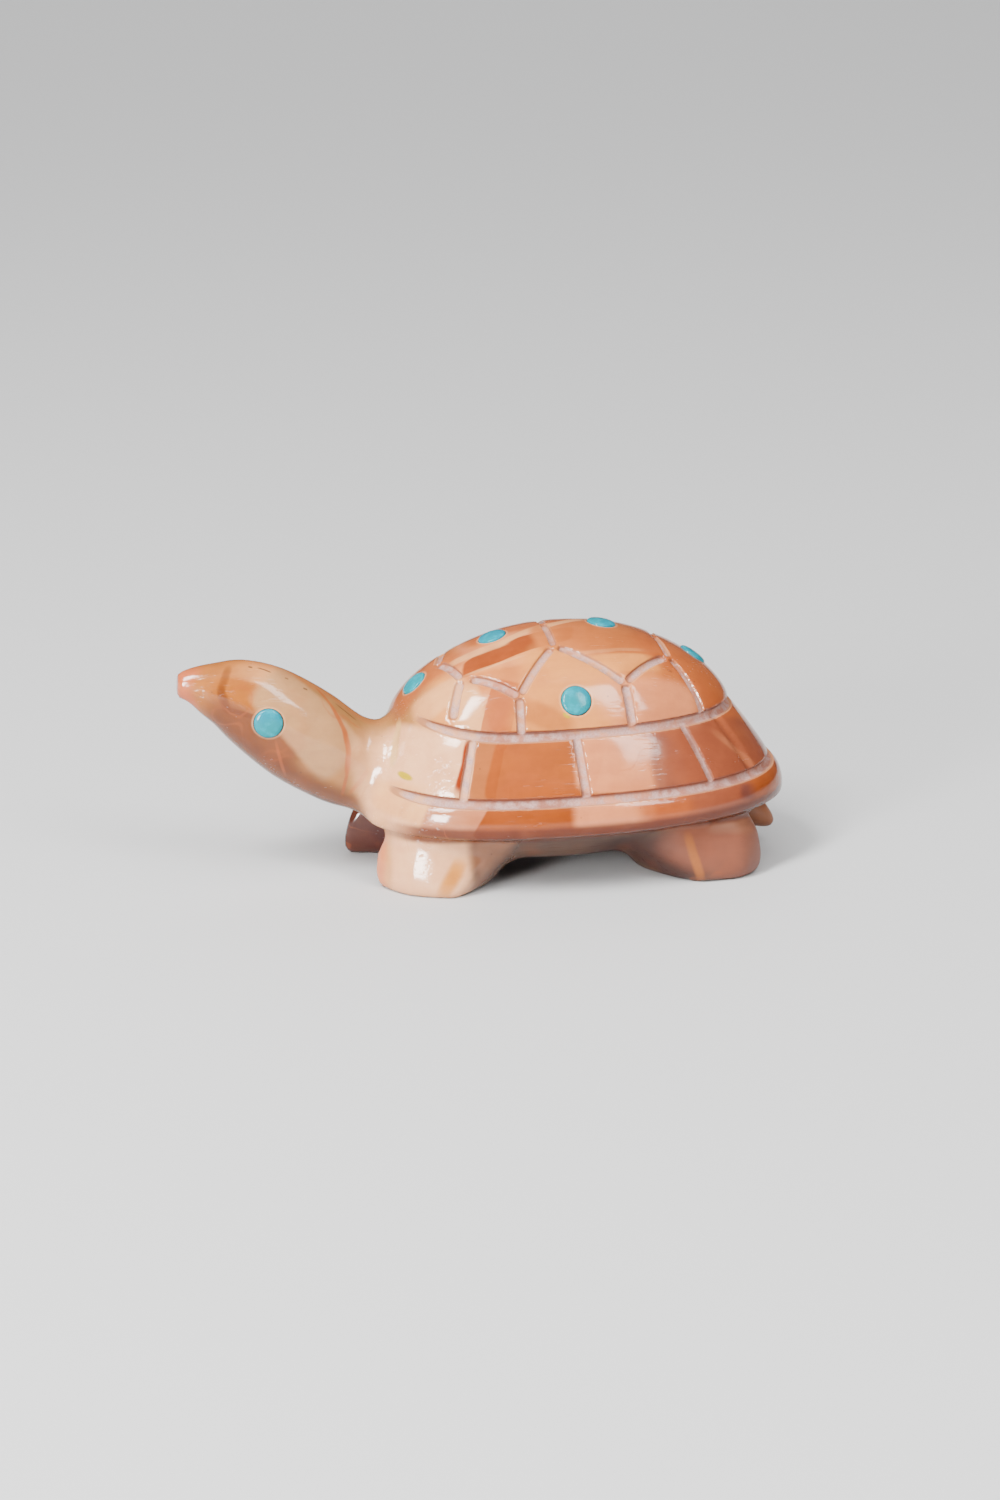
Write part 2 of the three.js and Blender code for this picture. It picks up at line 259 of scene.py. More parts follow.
def headRings():
    rings, sides = head["rings"], head["sides"]
    turns = [math.tau * i / sides for i in range(sides)]
    cap = [[headPoint(0, turn, reach) for turn in turns] for reach in head["cap"]]
    return cap + [[headPoint(i / rings, turn) for turn in turns] for i in range(rings + 1)]


legs = {
    "top": 8 * mm,
    # shares of the shell's half length forward of its middle and of its half width, round the foot
    "forefoot": [(0.925, 0.3), (0.885, 0.48), (0.81, 0.625), (0.7, 0.715), (0.58, 0.745), (0.383, 0.44),
                 (0.6, 0.19)],
    "hindfoot": [(-0.25, 0.329), (-0.375, 0.658), (-0.5, 0.816), (-0.708, 0.803), (-0.817, 0.658),
                 (-0.775, 0.382), (-0.542, 0.197)],
    "rightForefootLead": 1.5 * mm,
    # share of the height and of the foot's outline
    "levels": [(0, 0.5), (0, 0.8), (0.02, 0.88), (0.075, 0.95), (0.18, 1), (0.36, 1), (0.55, 0.95),
               (0.7, 0.9), (1, 0.62)],
    "rings": 16,
    "sides": 48,
    "facets": 0.55,  # 0 for a round leg, 1 for flat faces with ridges between
    "webReach": 4.6 * mm,  # how far a leg spreads towards the shell's middle where it meets the belly
    "webHeight": 4.4 * mm,
    "webLength": 4 * mm,
    "webPower": 1.6,
    "lean": 0.2,  # how far a fore leg's foot stands out, for each millimetre below the lean's height
    "leanHeight": 5 * mm,
    "leanTurn": 28,  # degrees from square out towards the head
}


def legRings(outline, side, lead=0):
    forward, out = shell["halfLength"], shell["halfWidth"]
    points = [(shell["middle"] - along * forward - lead, side * apart * out) for along, apart in outline]
    middle = np.mean(points, axis=0)
    inward = 1 if middle[0] < shell["middle"] else -1
    turn = math.radians(legs["leanTurn"])
    leanWay = np.array((-math.sin(turn), side * math.cos(turn)))
    closed = [points[-1]] + points + points[:2]
    spans = len(closed) - 1
    rings = []
    for level in range(legs["rings"] + 1):
        height, size = catmullRom(legs["levels"], level / legs["rings"])
        height = max(height, 0) * legs["top"]
        web = legs["webReach"] * min(height / legs["webHeight"], 1) ** legs["webPower"]
        lean = legs["lean"] * max(legs["leanHeight"] - height, 0) if inward > 0 else 0
        ring = []
        for i in range(legs["sides"]):
            at = (1 + len(points) * i / legs["sides"]) / spans
            before = min(int(at * spans), spans - 1)
            part = at * spans - before
            straight = np.array(closed[before]) * (1 - part) + np.array(closed[before + 1]) * part
            corner = straight * legs["facets"] + catmullRom(closed, at) * (1 - legs["facets"])
            x, y = middle + (corner - middle) * size + lean * leanWay
            behind = min(max((x - middle[0]) * inward / legs["webLength"], 0), 1)
            ring.append(Vector((x + inward * web * behind, y, height)))
        rings.append(ring)
    return rings


tail = {
    "width": 5.8 * mm,
    "reach": 6.7 * mm,
    "inset": 0.3 * mm,
    "rootHeight": 7 * mm,
    "tipHeight": 2.2 * mm,
    "rings": 14,
    "sides": 32,
}


def tailRings():
    back = stoneHigh.x - tail["inset"]
    tip = Vector((back, 0, tail["tipHeight"]))
    root = Vector((back - tail["reach"], 0, tail["rootHeight"]))
    up = (tip - root).cross(sideways).normalized()
    rings = []
    for i in range(1, tail["rings"]):
        along = math.sin(i / tail["rings"] * math.pi / 2) ** 2
        thick = tail["width"] / 2 * math.sqrt(1 - along) * min(1, 2 * math.sqrt(along))
        ring = []
        for k in range(tail["sides"]):
            turn = math.tau * k / tail["sides"]
            across = Vector((0, thick * math.cos(turn), 0))
            ring.append(root + (tip - root) * along + across + up * thick * math.sin(turn))
        rings.append(ring)
    return rings


def pickOnly(piece):
    bpy.ops.object.select_all(action="DESELECT")
    piece.select_set(True)
    bpy.context.view_layer.objects.active = piece


def applyModifier(piece, kind, **settings):
    pickOnly(piece)
    bpy.ops.object.modifier_add(type=kind)
    modifier = piece.modifiers[-1]
    for name, value in settings.items():
        setattr(modifier, name, value)
    bpy.ops.object.modifier_apply(modifier=modifier.name)


def loft(name, rings, levels=1):
    # a closed form: a disc at the first ring, extruded ring by ring and then rounded
    bpy.ops.mesh.primitive_circle_add(vertices=len(rings[0]), fill_type="NGON")
    form = bpy.context.object
    form.name = name
    bpy.ops.object.mode_set(mode="EDIT")
    bpy.ops.mesh.select_all(action="SELECT")
    for i, ring in enumerate(rings):
        if i > 0:
            bpy.ops.mesh.extrude_region_move()
        mesh = bmesh.from_edit_mesh(form.data)
        picked = sorted((v for v in mesh.verts if v.select), key=lambda v: v.index)
        if i == 0:
            order = {tuple(v.co): k for k, v in enumerate(picked)}
        else:
            order = {tuple(corner): k for k, corner in enumerate(before)}
        before = [None] * len(ring)
        for v in picked:
            k = order[tuple(v.co)]
            v.co = ring[k]
            before[k] = tuple(v.co)
        bmesh.update_edit_mesh(form.data)
    bpy.ops.mesh.select_all(action="SELECT")
    bpy.ops.mesh.normals_make_consistent(inside=False)
    bpy.ops.object.mode_set(mode="OBJECT")
    applyModifier(form, "SUBSURF", levels=levels, render_levels=levels)
    return form


formRings = {
    "shell": shellRings(),
    "head": headRings(),
    "tail": tailRings(),
    "left fore leg": legRings(legs["forefoot"], -1),
    "right fore leg": legRings(legs["forefoot"], 1, legs["rightForefootLead"]),
    "left hind leg": legRings(legs["hindfoot"], -1),
    "right hind leg": legRings(legs["hindfoot"], 1),
}
forms = {}
for name, rings in formRings.items():
    forms[name] = loft(name + " form", rings, 2 if name == "shell" else 1)
    print(" ", name, len(forms[name].data.polygons), "faces")


print("turquoise plug")

inlays = {
    "clearance": 0.05 * mm,
    "crown": 0.46 * mm,
    "depth": 1.2 * mm,
    "sides": 32,
    "socketSides": 64,
    "cutterRise": 1.2 * mm,  # how far a socket's cutter stands out of the stone
    "fineRing": 0.2 * mm,  # how far from a socket's edge the skin is divided
    "haloWidth": 0.7 * mm,  # of the paler stone round a plug
    # node names, and the plug's diameter
    "pieces": {"eye_left": 3.2 * mm, "eye_right": 3.2 * mm, "shell_dot_left": 3.3 * mm,
               "shell_dot_right": 3.3 * mm, "shell_dot_1": 3.1 * mm, "shell_dot_2": 3.15 * mm,
               "shell_dot_3": 3.2 * mm, "shell_dot_4": 3.2 * mm},
    # a plug's outline from the bottom to the middle of its top: shares of its radius and of its crown
    "outline": [(0.5, -2.8), (0.985, -2.8), (1, -2.7), (1, 0), (0.99, 0.2), (0.95, 0.4), (0.86, 0.6),
                (0.68, 0.8), (0.42, 0.94), (0.14, 1)],
}


def plugRings():
    turns = [math.tau * i / inlays["sides"] for i in range(inlays["sides"])]
    rings = []
    for share, height in inlays["outline"]:
        height *= inlays["crown"]
        rings.append([Vector((math.cos(turn) * share, math.sin(turn) * share, height)) for turn in turns])
    return rings


plugShape = loft("plug shape", plugRings())  # one unit in radius, its crown at full height


print("one stone out of the forms")

stoneMesh = {
    "voxel": 0.45 * mm,
    "fairingReach": {"head": 4.2 * mm, "tail": 1.6 * mm, "leg": 3.2 * mm},
    "firstSmoothing": {"factor": 0.5, "iterations": 4},
    "fairing": {"factor": 0.5, "iterations": 90},
    "lastSmoothing": {"factor": 0.4, "iterations": 2},
    "rimHeights": (5.6 * mm, 6.8 * mm),  # over these the rim stays crisp above the legs
    "fineMargins": (0.4 * mm, 0.08 * mm),  # how far past a groove's edge the skin is divided, once and twice
    "fineSmoothness": 0.6,
    "sharpAngle": 50,  # degrees
    "unevenness": 0.035 * mm,  # the flats and hollows that grinding by hand leaves
    "unevenLength": 4.5 * mm,
}


def joinForms():
    bpy.ops.object.select_all(action="DESELECT")
    copies = []
    for form in forms.values():
        copy = form.copy()
        copy.data = form.data.copy()
        bpy.context.collection.objects.link(copy)
        copy.select_set(True)
        copies.append(copy)
    bpy.context.view_layer.objects.active = copies[0]
    bpy.ops.object.join()
    stone = bpy.context.object
    stone.name = "carved_turtle"
    applyModifier(stone, "REMESH", mode="VOXEL", voxel_size=stoneMesh["voxel"], use_smooth_shade=True)
    return stone


def readVectors(items, what):
    values = np.empty(len(items) * 3)
    items.foreach_get(what, values)
    return values.reshape(-1, 3)


def skinOf(piece):
    mesh = piece.data
    return BVHTree.FromPolygons([v.co for v in mesh.vertices], [list(p.vertices) for p in mesh.polygons])


def weighFairing(stone):
    # weights for each form's own skin, and for the hollows where one form runs into another
    skins = [skinOf(form) for form in forms.values()]
    away = np.array([[skin.find_nearest(v.co)[3] for skin in skins] for v in stone.data.vertices])
    own = away.argmin(axis=1)
    heights = readVectors(stone.data.vertices, "co")[:, 2]
    names = list(forms)
    fairing = np.zeros(len(own))
    for k, name in enumerate(names):
        if name == "shell":
            continue
        kind = name if name in stoneMesh["fairingReach"] else "leg"
        reach = stoneMesh["fairingReach"][kind]
        other = np.where(own == k, away[:, 0], away[:, k])
        near = np.clip(1 - other / reach, 0, 1)
        if kind == "leg":
            low, high = stoneMesh["rimHeights"]
            near *= np.clip((high - heights) / (high - low), 0, 1)
        fairing = np.maximum(fairing, near * near * (3 - 2 * near))
    groups = {"fairing": fairing}
    for k, name in enumerate(names):
        groups[name] = np.where(own == k, 1 - fairing, 0)
    for name, weights in groups.items():
        group = stone.vertex_groups.new(name=name)
        rounded = np.round(weights, 2)
        for level in np.unique(rounded[rounded > 0]):
            group.add(np.nonzero(rounded == level)[0].tolist(), float(level), "REPLACE")


def hugForms(stone, names):
    for name in names:
        applyModifier(stone, "SHRINKWRAP", target=forms[name], vertex_group=name,
                      wrap_method="NEAREST_SURFACEPOINT", wrap_mode="ON_SURFACE")


stone = joinForms()
weighFairing(stone)
applyModifier(stone, "SMOOTH", **stoneMesh["firstSmoothing"])
applyModifier(stone, "SMOOTH", vertex_group="fairing", **stoneMesh["fairing"])
hugForms(stone, forms)
print("  stone", len(stone.data.vertices), "vertices")


print("grooves and sockets")

grooveCuts = {
    "ringWidth": 1.15 * mm,
    "ringDepth": 0.5 * mm,
    "ringRunOut": 6 * mm,
    "ringGap": 24,  # degrees left uncut on each side of the neck
    "ringLifts": (0.02, 0.025),  # how much nearer to the dome's top each ring starts, as a share
    "ringLiftOver": 0.25,  # share of a ring's half over which it comes down again
    "scuteWidth": 1.02 * mm,
    "scuteDepth": 0.45 * mm,
    "bandWidth": 1.02 * mm,
    "bandDepth": 0.45 * mm,
    "runOut": 0.7 * mm,  # length over which a cut comes up to the surface
    "rollWidth": 1.1 * mm,  # the polished roll of a scute down to its grooves
    "rollDepth": 0.05 * mm,
    "endWidth": 0.65,  # of a cut's width, at its ends
    "section": (2.4, 0.62),  # the powers that shape a groove's section
    "creaseSection": (2, 2),
    "roughSteps": 40,
    "sampleGap": 0.09 * mm,
    "fewestSamples": 4,
    "batch": 4000,  # places that are measured at once
    "lipPlace": -0.02 * mm,
    "lipWidth": 0.17 * mm,
}

# corners of the scutes, for one side: shares of the upper ring's half length and half width
scuteCorners = {
    "frontMiddle": (-0.72, 0), "front": (-0.64, 0.45), "frontFoot": (-0.72, 0.71),
    "firstNotch": (-0.34, 0.8), "firstFoot": (-0.35, 0.97), "peak": (-0.09, 0.42), "peakMiddle": (-0.1, 0),
    "secondNotch": (0.28, 0.78), "secondFoot": (0.3, 0.98), "back": (0.59, 0.42), "backMiddle": (0.56, 0),
    "backFoot": (0.75, 0.74),
}
# from, to, the shares of the way at which the cut starts and stops, and how wide it is
scuteLines = [
    ("front", "frontMiddle", 0, 1, 1), ("front", "frontFoot", 0.04, 1, 1.15),
    ("front", "firstNotch", 0.15, 1, 1), ("firstNotch", "firstFoot", 0, 1, 1.05),
    ("firstNotch", "peak", 0.03, 0.95, 0.95), ("peak", "peakMiddle", 0, 1, 0.8),
    ("peak", "secondNotch", 0.05, 1, 1), ("secondNotch", "secondFoot", 0, 1, 1.15),
    ("secondNotch", "back", 0.04, 0.95, 0.95), ("back", "backMiddle", 0, 1, 0.8),
    ("back", "backFoot", 0.05, 1, 0.85),
]
bandCuts = [(55, 0.8), (92, 1.1), (126, 1)]  # degrees round from the tail, and how wide
# polished creases: degrees round from the tail, width and depth
bandCreases = [(38, 1.7 * mm, 0.26 * mm), (167, 1.6 * mm, 0.26 * mm)]
# creases where the neck was ground to meet the shell: from, to, width and depth, in millimetres
neckCreases = [
    ((-13.4, -2.4, 16.9), (-13.6, -4.8, 11.6), 1.8, 0.14),
    ((-10.0, -3.0, 17.2), (-10.9, -5.2, 13.8), 1.1, 0.2),
    ((-15.4, -4.3, 12.4), (-16.0, -3.6, 9.8), 1.6, 0.1),
]


def sampled(spotAt, width, depth, runOut=grooveCuts["runOut"]):
    # a cut as points along it, with its half width and depth at each
    steps, endWidth = grooveCuts["roughSteps"], grooveCuts["endWidth"]
    rough = np.array([spotAt(i / steps) for i in range(steps + 1)])
    lengths = np.concatenate([[0], np.cumsum(np.linalg.norm(np.diff(rough, axis=0), axis=1))])
    count = max(int(lengths[-1] / grooveCuts["sampleGap"]), grooveCuts["fewestSamples"])
    along = np.linspace(0, lengths[-1], count)
    shares = np.interp(along, lengths, np.linspace(0, 1, steps + 1))
    places = np.array([spotAt(share) for share in shares])
    fromEnd = np.clip(np.minimum(along, along[-1] - along) / runOut, 0, 1)
    rise = 1 - (1 - fromEnd) ** 2
    return places, width / 2 * (endWidth + (1 - endWidth) * rise), depth * rise


def ringCuts():
    # each ring in two halves, which start beside the neck and meet over the tail
    cuts = []
    sweep = math.pi - math.radians(grooveCuts["ringGap"])
    width, depth = grooveCuts["ringWidth"], grooveCuts["ringDepth"]
    for share, lift in zip((shell["lowerShare"], shell["upperShare"]), grooveCuts["ringLifts"]):
        for half in (-1, 1):

            def spot(t):
                near = max(1 - t / grooveCuts["ringLiftOver"], 0)
                return shellPoint(share - lift * near * near, half * sweep * (1 - t))

            places, wide, deep = sampled(spot, width, depth, grooveCuts["ringRunOut"])
            behind = np.arange(len(places)) > len(places) // 2
            wide[behind], deep[behind] = width / 2, depth
            cuts.append((places, wide, deep))
    return cuts


def scuteCuts(side):
    cuts = []
    for start, stop, first, last, wider in scuteLines:
        a, b = np.array(scuteCorners[start]), np.array(scuteCorners[stop])

        def spot(t):
            along, out = a + (b - a) * (first + (last - first) * t)
            return shellPoint(*domeSpot(along, side * out))

        cuts.append(sampled(spot, grooveCuts["scuteWidth"] * wider, grooveCuts["scuteDepth"]))
    return cuts


def bandCut(side, degrees, width, depth):
    upper, lower, angle = shell["upperShare"], shell["lowerShare"], side * math.radians(degrees)
    return sampled(lambda t: shellPoint(upper + (lower - upper) * t, angle), width, depth)


def neckCrease(side, start, stop, width, depth):
    a, b = (Vector((x, -side * y, z)) * mm for x, y, z in (start, stop))
    return sampled(lambda t: stoneSkin.find_nearest(a.lerp(b, t))[0], width * mm, depth * mm)


def toCuts(places, cuts, reach, section=grooveCuts["section"]):
    # for each place: how far past the nearest cut's edge it lies, the depth of the cut there, how far above
    # the cut it lies, and how deep that cut runs
    past = np.full(len(places), 1.0)
    depth, above, full = np.zeros((3, len(places)))
    for points, wide, deep in cuts:
        low, high = points.min(axis=0) - reach, points.max(axis=0) + reach
        near = np.nonzero(((places > low) & (places < high)).all(axis=1))[0]
        for part in np.array_split(near, max(len(near) // grooveCuts["batch"], 1)):
            if len(part) == 0:
                continue
            squares = sum((places[part, None, k] - points[None, :, k]) ** 2 for k in range(3))
            closest = squares.argmin(axis=1)
            gap = np.sqrt(squares[np.arange(len(part)), closest])
            u = np.clip(gap / wide[closest], 0, 1)
            depth[part] = np.maximum(depth[part], deep[closest] * (1 - u ** section[0]) ** section[1])
            nearer = gap - wide[closest] < past[part]
            past[part[nearer]] = (gap - wide[closest])[nearer]
            above[part[nearer]] = ((places[part, 2] - points[closest, 2]) / wide[closest])[nearer]
            full[part[nearer]] = deep[closest[nearer]]
    return past, depth, above, full


def inlaySeat(node):
    # the place on the stone under a plug and its way out, read from the CAD plug
    corners = readVectors(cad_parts[node].data.vertices, "co")
    middle = corners.mean(axis=0)
    way = Vector(np.linalg.eigh(np.cov((corners - middle).T))[1][:, 0])
    low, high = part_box(node)
    centre = (low + high) / 2
    if way.dot(centre - (stoneLow + stoneHigh) / 2) < 0:
        way = -way
    top = max(Vector(corner).dot(way) for corner in corners)
    return centre + way * (top - inlays["crown"] - centre.dot(way)), way


def pastPlug(places, node):
    return np.linalg.norm(places - np.array(seats[node][0]), axis=1) - inlays["pieces"][node] / 2


def divideNear(piece, cuts, margin):
    # divides the skin at the cuts and round the sockets
    centres = readVectors(piece.data.polygons, "center")
    picked = toCuts(centres, cuts, grooveCuts["ringWidth"] + margin)[0] < margin
    for node in seats:
        picked |= np.abs(pastPlug(centres, node)) < margin + inlays["fineRing"]
    pickOnly(piece)
    bpy.ops.object.mode_set(mode="EDIT")
    bpy.ops.mesh.select_all(action="DESELECT")
    bpy.ops.object.mode_set(mode="OBJECT")
    piece.data.polygons.foreach_set("select", picked)
    bpy.ops.object.mode_set(mode="EDIT")
    bpy.ops.mesh.select_mode(type="FACE")
    bpy.ops.mesh.subdivide(number_cuts=1, smoothness=stoneMesh["fineSmoothness"])
    bpy.ops.object.mode_set(mode="OBJECT")


def cutSockets(piece):
    cutters = []
    for node, (seat, way) in seats.items():
        radius = inlays["pieces"][node] / 2 + inlays["clearance"]
        deep, high = inlays["depth"] + inlays["clearance"], inlays["cutterRise"]
        bpy.ops.mesh.primitive_cylinder_add(vertices=inlays["socketSides"], radius=radius, depth=deep + high,
                                            location=seat + way * (high - deep) / 2,
                                            rotation=way.to_track_quat("Z", "Y").to_euler())
        cutters.append(bpy.context.object)
    bpy.ops.object.select_all(action="DESELECT")
    for cutter in cutters:
        cutter.select_set(True)
    bpy.context.view_layer.objects.active = cutters[0]
    bpy.ops.object.join()
    applyModifier(piece, "BOOLEAN", operation="DIFFERENCE", object=cutters[0], solver="EXACT")
    bpy.data.objects.remove(cutters[0])


def sinkCuts(piece, cuts, creases):
    places = readVectors(piece.data.vertices, "co")
    normals = readVectors(piece.data.vertices, "normal")
    past, depth = toCuts(places, cuts, grooveCuts["ringWidth"] + grooveCuts["rollWidth"])[:2]
    roll = np.clip(1 - past / grooveCuts["rollWidth"], 0, 1) ** 2 * grooveCuts["rollDepth"]
    roll += toCuts(places, creases, grooveCuts["ringWidth"] * 2, grooveCuts["creaseSection"])[1]
    size, length = stoneMesh["unevenness"], stoneMesh["unevenLength"]
    roll += [size * noise.noise(Vector(place) / length) for place in places]
    places -= normals * (depth + roll)[:, None]
    places[:, 2] = np.maximum(places[:, 2], 0)  # the feet are ground flat
    piece.data.vertices.foreach_set("co", places.ravel())
    piece.data.update()


def noteMarks(piece, cuts):
    # how deep each corner lies in a cut, how close to a cut's upper or lower lip (for the painted shade along
    # the upper lip and the painted highlight along the lower one), and how close to an inlay
    places = readVectors(piece.data.vertices, "co")
    past, depth, above, full = toCuts(places, cuts, grooveCuts["ringWidth"])
    lip = np.clip(1 - np.abs(past - grooveCuts["lipPlace"]) / grooveCuts["lipWidth"], 0, 1)
    lip *= np.clip(full / grooveCuts["scuteDepth"] * 1.6 - 0.6, 0, 1)  # a cut's shallow ends have no lips
    halo = np.zeros(len(places))
    for node in seats:
        halo = np.maximum(halo, np.clip(1 - pastPlug(places, node) / inlays["haloWidth"], 0, 1))
    marks = {"cutDepth": depth / grooveCuts["ringDepth"], "upperLipShade": lip * np.clip(above, 0, 1),
             "lowerLipHighlight": lip * np.clip(0.5 - above, 0, 1), "halo": halo}
    for name, values in marks.items():
        piece.data.attributes.new(name, "FLOAT", "POINT").data.foreach_set("value", values)


stoneSkin = skinOf(stone)
seats = {node: inlaySeat(node) for node in inlays["pieces"]}
cuts = ringCuts()
creases = []
for side in (-1, 1):
    cuts += scuteCuts(side)
    for degrees, wider in bandCuts:
        cuts.append(bandCut(side, degrees, grooveCuts["bandWidth"] * wider, grooveCuts["bandDepth"]))
    creases += [bandCut(side, *crease) for crease in bandCreases]
    creases += [neckCrease(side, *crease) for crease in neckCreases]

for margin in stoneMesh["fineMargins"]:
    divideNear(stone, cuts, margin)
hugForms(stone, ["shell"])
applyModifier(stone, "SMOOTH", **stoneMesh["lastSmoothing"])
for form in forms.values():
    bpy.data.objects.remove(form)
cutSockets(stone)
noteMarks(stone, cuts)
sinkCuts(stone, cuts, creases)
for group in list(stone.vertex_groups):
    stone.vertex_groups.remove(group)
pickOnly(stone)
bpy.ops.object.shade_smooth_by_angle(angle=math.radians(stoneMesh["sharpAngle"]))
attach(stone, "root")
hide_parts("turtle_carving")
triangles = sum(len(p.vertices) - 2 for p in stone.data.polygons)
print("  stone", len(stone.data.vertices), "vertices,", triangles, "triangles")


print("turquoise plugs in their sockets")


def setPlug(node):
    seat, way = seats[node]
    radius = inlays["pieces"][node] / 2
    pickOnly(plugShape)
    bpy.ops.object.duplicate(linked=False)
    plug = bpy.context.object
    plug.name = "turquoise_" + node
    plug.location = seat
    plug.rotation_euler = way.to_track_quat("Z", "Y").to_euler()
    plug.scale = (radius, radius, 1)
    bpy.ops.object.transform_apply(location=True, rotation=True, scale=True)
    bpy.ops.object.shade_smooth()
    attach(plug, "root")
    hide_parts(node)
    return plug


plugs = [setPlug(node) for node in inlays["pieces"]]
bpy.data.objects.remove(plugShape)


print("stone and turquoise")


def addNode(tree, kind, inputs=None, **settings):
    node = tree.nodes.new("ShaderNode" + kind)
    for name, value in settings.items():
        setattr(node, name, value)
    for name, value in (inputs or {}).items():
        if isinstance(value, bpy.types.NodeSocket):
            tree.links.new(value, node.inputs[name])
        else:
            node.inputs[name].default_value = value
    return node


def maths(tree, operation, a, b=0):
    return addNode(tree, "Math", {0: a, 1: b}, operation=operation).outputs[0]


def vectors(tree, operation, a, b=(0, 0, 0), output="Vector"):
    return addNode(tree, "VectorMath", {0: a, 1: b}, operation=operation).outputs[output]


def eased(tree, value, low, high, top=1):
    # 0 below low and top above high, eased between them
    return addNode(tree, "MapRange", {"Value": value, "From Min": low, "From Max": high, "To Max": top},
                   interpolation_type="SMOOTHSTEP").outputs[0]


def mixed(tree, factor, a, b, blend="MIX"):
    return addNode(tree, "Mix", {0: factor, 6: a, 7: b}, data_type="RGBA", blend_type=blend).outputs[2]


def tinted(tree, factor, colour, name):
    return mixed(tree, factor, colour, (*stoneColours[name], 1))


def grain(tree, place, size, detail=2, roughness=0.5, output="Fac"):
    inputs = {"Vector": place, "Scale": 1 / size, "Detail": detail, "Roughness": roughness}
    return addNode(tree, "TexNoise", inputs).outputs[output]


def turned(tree, place, turn, stretch):
    return addNode(tree, "Mapping", {"Vector": place, "Rotation": turn, "Scale": stretch}).outputs[0]


def newGroup(name, ins, outs):
    tree = bpy.data.node_groups.new(name, "ShaderNodeTree")
    for label, kind in ins.items():
        tree.interface.new_socket(label, in_out="INPUT", socket_type="NodeSocket" + kind)
    for label, kind in outs.items():
        tree.interface.new_socket(label, in_out="OUTPUT", socket_type="NodeSocket" + kind)
    return tree, tree.nodes.new("NodeGroupInput").outputs, tree.nodes.new("NodeGroupOutput").inputs


def placeGroup(tree, group, **inputs):
    return addNode(tree, "Group", inputs, node_tree=group).outputs


driftSizes = ((9 * mm, 1), (2.4 * mm, 0.3), (0.7 * mm, 0.08))  # of the wandering, and the share of each


def driftGroup():
    # the place, pushed about as layers of mud are before they turn to stone
    tree, given, result = newGroup("drift", {"Place": "Vector", "Amount": "Float"}, {"Place": "Vector"})
    pushed = given["Place"]
    for size, share in driftSizes:
        push = grain(tree, given["Place"], size, 1, output="Color")
        push = vectors(tree, "SUBTRACT", push, (0.5, 0.5, 0.5))
        amount = maths(tree, "MULTIPLY", given["Amount"], share)
        push = addNode(tree, "VectorMath", {0: push, "Scale": amount}, operation="SCALE").outputs[0]
        pushed = vectors(tree, "ADD", pushed, push)
    tree.links.new(pushed, result["Place"])
    return tree


def patchGroup():
    # a blunt-ended block or, with roundness, a blot of colour in the stone: 1 inside it and 0 outside
    ins = {"Place": "Vector", "Centre": "Vector", "Along": "Vector", "Across": "Vector", "Out": "Vector",
           "Roundness": "Float", "Softness": "Float", "Strength": "Float"}
    tree, given, result = newGroup("patch", ins, {"Mask": "Float"})
    offset = vectors(tree, "SUBTRACT", given["Place"], given["Centre"])
    shares = [vectors(tree, "DOT_PRODUCT", offset, given[way], "Value") for way in ("Along", "Across", "Out")]
    local = addNode(tree, "CombineXYZ", dict(enumerate(shares))).outputs[0]
    oval = vectors(tree, "DOT_PRODUCT", local, local, "Value")
    squares = vectors(tree, "MULTIPLY", local, local)
    fourths = vectors(tree, "MULTIPLY", squares, squares)
    block = maths(tree, "POWER", vectors(tree, "LENGTH", fourths, output="Value"), 0.5)
    rounded = maths(tree, "MULTIPLY", maths(tree, "SUBTRACT", oval, block), given["Roundness"])
    away = maths(tree, "ADD", block, rounded)
    outer, inner = (maths(tree, operation, 1, given["Softness"]) for operation in ("ADD", "SUBTRACT"))
    mask = eased(tree, away, outer, inner)
    tree.links.new(maths(tree, "MULTIPLY", mask, given["Strength"]), result["Mask"])
    return tree


polishMarks = {
    "scratches": (((0.1, 0.5, 0.2), 0.3 * mm), ((1.3, -0.4, 0.9), 0.24 * mm)),  # their ways and widths
    "scratchStretch": (0.07, 1, 1),
    "scratchRange": (0.6, 0.75),
    "scratchRoughness": 0.2,
    "patchSize": 6 * mm,  # of the places that were scratched
    "patchRange": (0.45, 0.65),
    "cloudSize": 3 * mm,
    "cloudRoughness": 0.14,
}


def polishGroup():
    # what hand polishing leaves: short fine scratches and a slow change of shine
    marks = polishMarks
    tree, given, result = newGroup("hand polish", {"Place": "Vector", "Scratches": "Float"},
                                   {"Roughness": "Float", "Height": "Float"})
    lines = 0
    for turn, size in marks["scratches"]:
        stretched = turned(tree, given["Place"], turn, marks["scratchStretch"])
        streak = eased(tree, grain(tree, stretched, size, 1), *marks["scratchRange"])
        lines = maths(tree, "ADD", lines, streak)
    patches = eased(tree, grain(tree, given["Place"], marks["patchSize"]), *marks["patchRange"])
    lines = maths(tree, "MULTIPLY", maths(tree, "MULTIPLY", lines, patches), given["Scratches"])
    cloudy = maths(tree, "SUBTRACT", grain(tree, given["Place"], marks["cloudSize"], 3), 0.5)
    cloudy = maths(tree, "MULTIPLY", cloudy, marks["cloudRoughness"])
    rough = maths(tree, "ADD", cloudy, maths(tree, "MULTIPLY", lines, marks["scratchRoughness"]))
    tree.links.new(rough, result["Roughness"])
    tree.links.new(maths(tree, "MULTIPLY", lines, -1), result["Height"])
    return tree


drift, patchMask, handPolish = driftGroup(), patchGroup(), polishGroup()

